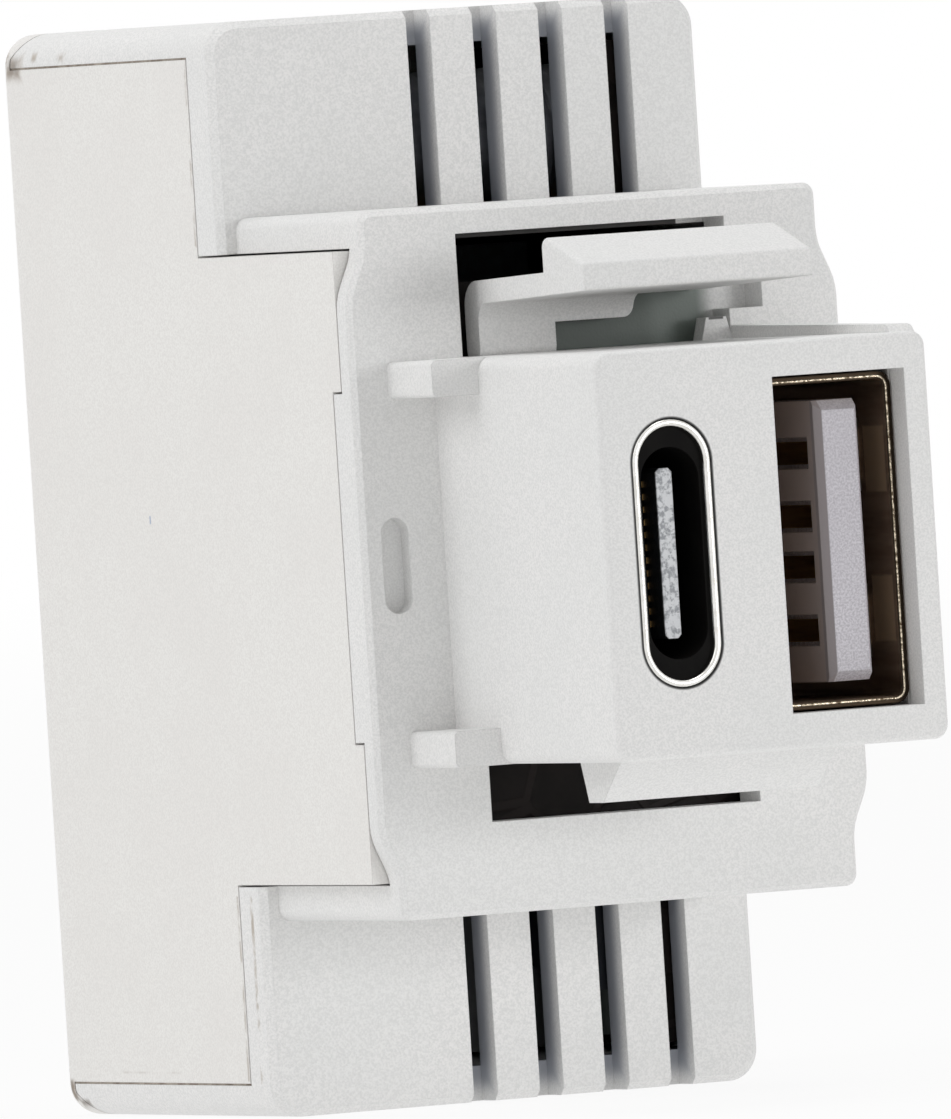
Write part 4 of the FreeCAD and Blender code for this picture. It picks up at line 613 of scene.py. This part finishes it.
material, tree, shader, tone = start_eroded(
    "pbt_mauve_grey_spark_eroded", "D8D5DB", "CECBD1", "B7B3BA", ior=1.56)
tree.links.new(paint_marks(tree, tone, BLADE_PAINTED_SHADE), shader.inputs["Base Color"])
MATERIALS["pale_insulator"] = material
for slot, (name, colour, shade, roughness, more) in PLAIN_FINISHES.items():
    MATERIALS[slot] = cloudy_finish(name, colour, shade, roughness, **more)
print("insulators and parts inside:", len(PLAIN_FINISHES) + 1)

# %% [markdown]
# ### Black circuit boards
#
# Glass epoxy under a black solder mask. Conductors under the mask show as
# slightly raised, slightly lighter tracks about a fifth of a millimetre wide.
# Cells of a Voronoi pattern, whose edges are measured, meet in such lines.

# %% Boards
TRACK_CELL_MM = 2.4
TRACK_WIDTH_MM = 0.2
TRACK_RISE_MM = 0.03
TRACK_WANDER = 0.55

material, tree, shader = start_finish("glass_epoxy_black_solder_mask", roughness=0.5, ior=1.55, specular=0.1)
place = add(tree, "ShaderNodeTexCoord").outputs["Object"]
cells = add(tree, "ShaderNodeTexVoronoi", {"feature": "DISTANCE_TO_EDGE"},
            {"Vector": place, "Scale": 1 / (TRACK_CELL_MM * MM), "Randomness": TRACK_WANDER})
track = add(tree, "ShaderNodeMapRange", {"interpolation_type": "SMOOTHSTEP"}, {
    "Value": cells.outputs["Distance"], "From Min": TRACK_WIDTH_MM / TRACK_CELL_MM / 2,
    "From Max": TRACK_WIDTH_MM / TRACK_CELL_MM, "To Min": 1.0, "To Max": 0.0})
ground = clouds(tree, srgb("1F1B1A"), srgb("191615"), 1.5)
tone = add(tree, "ShaderNodeMix", {"data_type": "RGBA"}, {0: track.outputs[0], 6: ground, 7: srgb("262120")})
tree.links.new(tone.outputs[2], shader.inputs["Base Color"])
bump = add(tree, "ShaderNodeBump", inputs={"Height": track.outputs[0], "Distance": TRACK_RISE_MM * MM})
tree.links.new(bump.outputs[0], shader.inputs["Normal"])
MATERIALS["circuit_board"] = material

# %% [markdown]
# ### The small port's tongue
#
# The thin tongue has been plugged into many times: the tip of its dark
# moulding is scuffed bright, in streaks with dark pits between.

# %% Worn tongue
TONGUE_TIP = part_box("usb_c_tongue")[0][1] / MM
SCUFF_MM = 0.22
SCUFFED_TIP = ((-6.0, TONGUE_TIP - 0.2, -4.0), (-2.0, TONGUE_TIP + 0.06, 4.0), 0.05)
WORN_GRAIN_MM = 0.18
WORN_DEPTH_MM = 0.03

material, tree, shader = start_finish("lcp_dark_worn_bright", roughness=0.42, ior=1.6)
scuffs = clouds(tree, srgb("D6D8DB"), srgb("8E9196"), SCUFF_MM, from_low=0.45, from_high=0.62)
dark = clouds(tree, srgb("1C1D20"), srgb("26282C"), 0.5)
tone = add(tree, "ShaderNodeMix", {"data_type": "RGBA"}, {0: patch(tree, *SCUFFED_TIP), 6: dark, 7: scuffs})
tree.links.new(tone.outputs[2], shader.inputs["Base Color"])
soften_and_grain(tree, shader, WORN_GRAIN_MM, WORN_DEPTH_MM)
MATERIALS["grey_tongue"] = material

# %% Put every finish on its pieces
for row in frame["record"]["subparts"]:
    mesh = frame["nodes"][row["node"]].data
    mesh.materials.clear()
    mesh.materials.append(MATERIALS[row["material_slot"]])
print("finishes:", len(MATERIALS))

# %% [markdown]
# ## A helper for new pieces
#
# A finished piece keeps its object at the origin, unturned, with its place in
# its mesh. The helper turns a bmesh into such a piece, gives it a finish by
# name, and makes it ride with the module.

# %% Piece helper
def make_piece(name, shape, slot, replaced=(), finish=None):
    """Turn a bmesh into a piece with a finish, riding on the module."""
    bmesh.ops.recalc_face_normals(shape, faces=shape.faces)
    mesh = bpy.data.meshes.new(name)
    shape.to_mesh(mesh)
    shape.free()
    mesh.polygons.foreach_set("use_smooth", [True] * len(mesh.polygons))
    mesh.materials.append(MATERIALS[finish or slot])
    piece = bpy.data.objects.new(name, mesh)
    bpy.context.scene.collection.objects.link(piece)
    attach(piece, "module")
    if replaced:
        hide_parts(*replaced)
    print(name, "faces:", len(mesh.polygons))


# %% [markdown]
# ## Sections carried round an outline
#
# Both ports have a rim that follows a closed outline of straight runs and
# arcs. A section is drawn once, in the plane across the first run. Spin
# carries it round each arc and extrude along each straight run, and the last
# ring is merged into the first.

# %% Runs and arcs
def draw_section(shape, points, level):
    """A closed section across a vertical run, from points across and along Y."""
    verts = [shape.verts.new((x, y, level)) for x, y in points]
    edges = [shape.edges.new((verts[k], verts[(k + 1) % len(verts)])) for k in range(len(verts))]
    return verts + edges


def run_round(shape, ring, centre, angle, steps):
    """Spin a section round a centre, about Y; gives the last section."""
    result = bmesh.ops.spin(
        shape, geom=ring, cent=(centre[0], 0.0, centre[1]), axis=(0.0, 1.0, 0.0),
        angle=angle, steps=steps, use_merge=False, use_duplicate=False)
    return result["geom_last"]


def run_straight(shape, ring, shift):
    """Extrude a section along a straight run; gives the new section."""
    edges = [part for part in ring if isinstance(part, bmesh.types.BMEdge)]
    grown = bmesh.ops.extrude_edge_only(shape, edges=edges)["geom"]
    verts = [part for part in grown if isinstance(part, bmesh.types.BMVert)]
    bmesh.ops.translate(shape, verts=verts, vec=shift)
    moved = set(verts)
    grown_edges = [part for part in grown if isinstance(part, bmesh.types.BMEdge)]
    return verts + [edge for edge in grown_edges if moved.issuperset(edge.verts)]


# %% [markdown]
# ## The rim of the small port
#
# On the real port this rim is the front of a formed steel tube, so its edge
# is rolled over and has no corners: its section is a wall with a half-round
# front. It is carried half a turn round the top, down, half a turn round the
# foot and up again.

# %% Rolled rim
RIM_WALL = 0.33 * MM
ROUND_POINTS = 8
ARC_STEPS = 24

half = RIM_WALL / 2
across = rim_middle.x - rim_radius + half
section = []
for k in range(ROUND_POINTS + 1):
    angle = math.pi * k / ROUND_POINTS
    section.append((across - half * math.cos(angle), rim_low.y + half * (1 - math.sin(angle))))
section.append((across + half, rim_high.y))
section.append((across - half, rim_high.y))

shape = bmesh.new()
ring = draw_section(shape, section, rim_middle.z + rim_reach)
for side in (1, -1):
    ring = run_round(shape, ring, (rim_middle.x, rim_middle.z + side * rim_reach), math.pi, ARC_STEPS)
    ring = run_straight(shape, ring, (0.0, 0.0, -2 * side * rim_reach))
bmesh.ops.remove_doubles(shape, verts=shape.verts, dist=WELD_DISTANCE)
make_piece("rolled_rim", shape, "bright_rim", replaced=("usb_c_rim",))

# %% [markdown]
# ## The bright line on the flat port's edge
#
# Shearing the strip leaves a burr along the middle of its edge, and that thin
# line is what glitters in the port's mouth. It is a fine rounded bead along
# the shell's edge: four straight runs and four quarter turns.

# %% Sheared bead
SHEET = 0.3 * MM
BURR_SHARE = 0.62
BEAD = 0.11 * MM
BEAD_PROUD = 0.03 * MM
BEAD_POINTS = 8
CORNER_STEPS = 6

shell_low, shell_high = (Vector(corner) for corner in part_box("usb_a_shell"))
inset = SHEET * BURR_SHARE
turn_radius = 2 * SHEET - inset
left, right_side = shell_low.x + inset, shell_high.x - inset
foot, top = shell_low.z + inset, shell_high.z - inset
wide = right_side - left - 2 * turn_radius
tall = top - foot - 2 * turn_radius
half = BEAD / 2
bead_y = shell_low.y + half - BEAD_PROUD
section = []
for k in range(BEAD_POINTS):
    angle = 2 * math.pi * k / BEAD_POINTS
    section.append((left + half * math.cos(angle), bead_y + half * math.sin(angle)))
legs = [
    # the straight run, and the centre of the quarter turn after it
    ((0.0, 0.0, tall), (left + turn_radius, top - turn_radius)),
    ((wide, 0.0, 0.0), (right_side - turn_radius, top - turn_radius)),
    ((0.0, 0.0, -tall), (right_side - turn_radius, foot + turn_radius)),
    ((-wide, 0.0, 0.0), (left + turn_radius, foot + turn_radius)),
]

shape = bmesh.new()
ring = draw_section(shape, section, foot + turn_radius)
for shift, centre in legs:
    ring = run_straight(shape, ring, shift)
    ring = run_round(shape, ring, centre, math.pi / 2, CORNER_STEPS)
bmesh.ops.remove_doubles(shape, verts=shape.verts, dist=WELD_DISTANCE)
make_piece("sheared_bead", shape, "receptacle_steel", finish="sheared_edge")

# %% [markdown]
# ## Dust in the long seams
#
# The two long seams between the cover and the housing are packed with fine
# dust, so they look soft and grey-brown instead of black. The dust lies a
# little below the surface and sags in the middle. Its section is drawn across
# the seam and extruded along it.

# %% Packed dust
SEAM = 0.08 * MM
SEAM_LEVEL = 20.5 * MM
SEAM_FRONT = 16.9 * MM
SEAM_REAR = 32.9 * MM
DUST_EDGE = 0.012 * MM
DUST_SAG = 0.03 * MM
DUST_DEPTH = 0.15 * MM

# each point: how deep it lies, and its share of the way across the seam
section = [
    (DUST_EDGE, 0.0), (DUST_SAG, 0.25), (DUST_SAG, 0.75),
    (DUST_EDGE, 1.0), (DUST_DEPTH, 1.0), (DUST_DEPTH, 0.0),
]
MATERIALS["packed_dust"] = cloudy_finish(
    "dust_packed_grey_brown", "B9B0A6", "8F857A", 0.9, cloud_mm=0.8, specular=0.1)
shape = bmesh.new()
for side in (-1, 1):
    verts = [shape.verts.new((CAD_BOX[0][0] + deep, SEAM_FRONT, side * (SEAM_LEVEL + SEAM * share)))
             for deep, share in section]
    grown = bmesh.ops.extrude_face_region(shape, geom=[shape.faces.new(verts)])["geom"]
    moved = [part for part in grown if isinstance(part, bmesh.types.BMVert)]
    bmesh.ops.translate(shape, verts=moved, vec=(0.0, SEAM_REAR - SEAM_FRONT, 0.0))
make_piece("seam_dust", shape, "cover_moulding", finish="packed_dust")

# %% [markdown]
# ## Turns of copper behind the upper window
#
# The inductor is wound with enamelled wire, and its turns catch the light
# when the latch is pressed down and the window behind it opens up. One round
# section of wire, spun about the spool's axis with a small step along it,
# makes the whole winding.

# %% Copper turns
WIRE = 0.45 * MM
WIRE_POINTS = 10
STEPS_PER_TURN = 40

coil_low, coil_high = (Vector(corner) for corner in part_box("output_inductor_winding"))
coil_middle = (coil_low + coil_high) / 2
coil_radius = (coil_high.z - coil_low.z) / 2 - WIRE / 2
turns = int((coil_high.x - coil_low.x) / WIRE) - 1
shape = bmesh.new()
section = bmesh.ops.create_circle(shape, segments=WIRE_POINTS, radius=WIRE / 2)["verts"]
spot = Vector((coil_low.x + WIRE / 2, coil_middle.y, coil_middle.z + coil_radius))
upright = Matrix.Rotation(math.pi / 2, 3, "X")
bmesh.ops.rotate(shape, verts=section, cent=(0.0, 0.0, 0.0), matrix=upright)
bmesh.ops.translate(shape, verts=section, vec=spot)
geometry = list(shape.verts) + list(shape.edges)
bmesh.ops.spin(shape, geom=geometry, cent=coil_middle, axis=(1.0, 0.0, 0.0), angle=2 * math.pi * turns,
               steps=STEPS_PER_TURN * turns, dvec=(WIRE / STEPS_PER_TURN, 0.0, 0.0))
open_ends = [edge for edge in shape.edges if len(edge.link_faces) == 1]
bmesh.ops.holes_fill(shape, edges=open_ends, sides=0)
make_piece("copper_turns", shape, "copper_wire", replaced=("output_inductor_winding",))

# %% [markdown]
# ## Sizes before and after
#
# The dressed module's box is measured once more, as the constructed one's was at the start.
# The dressed module has to stay inside the box of the constructed one.

# %% Sizes and finish
low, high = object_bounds()
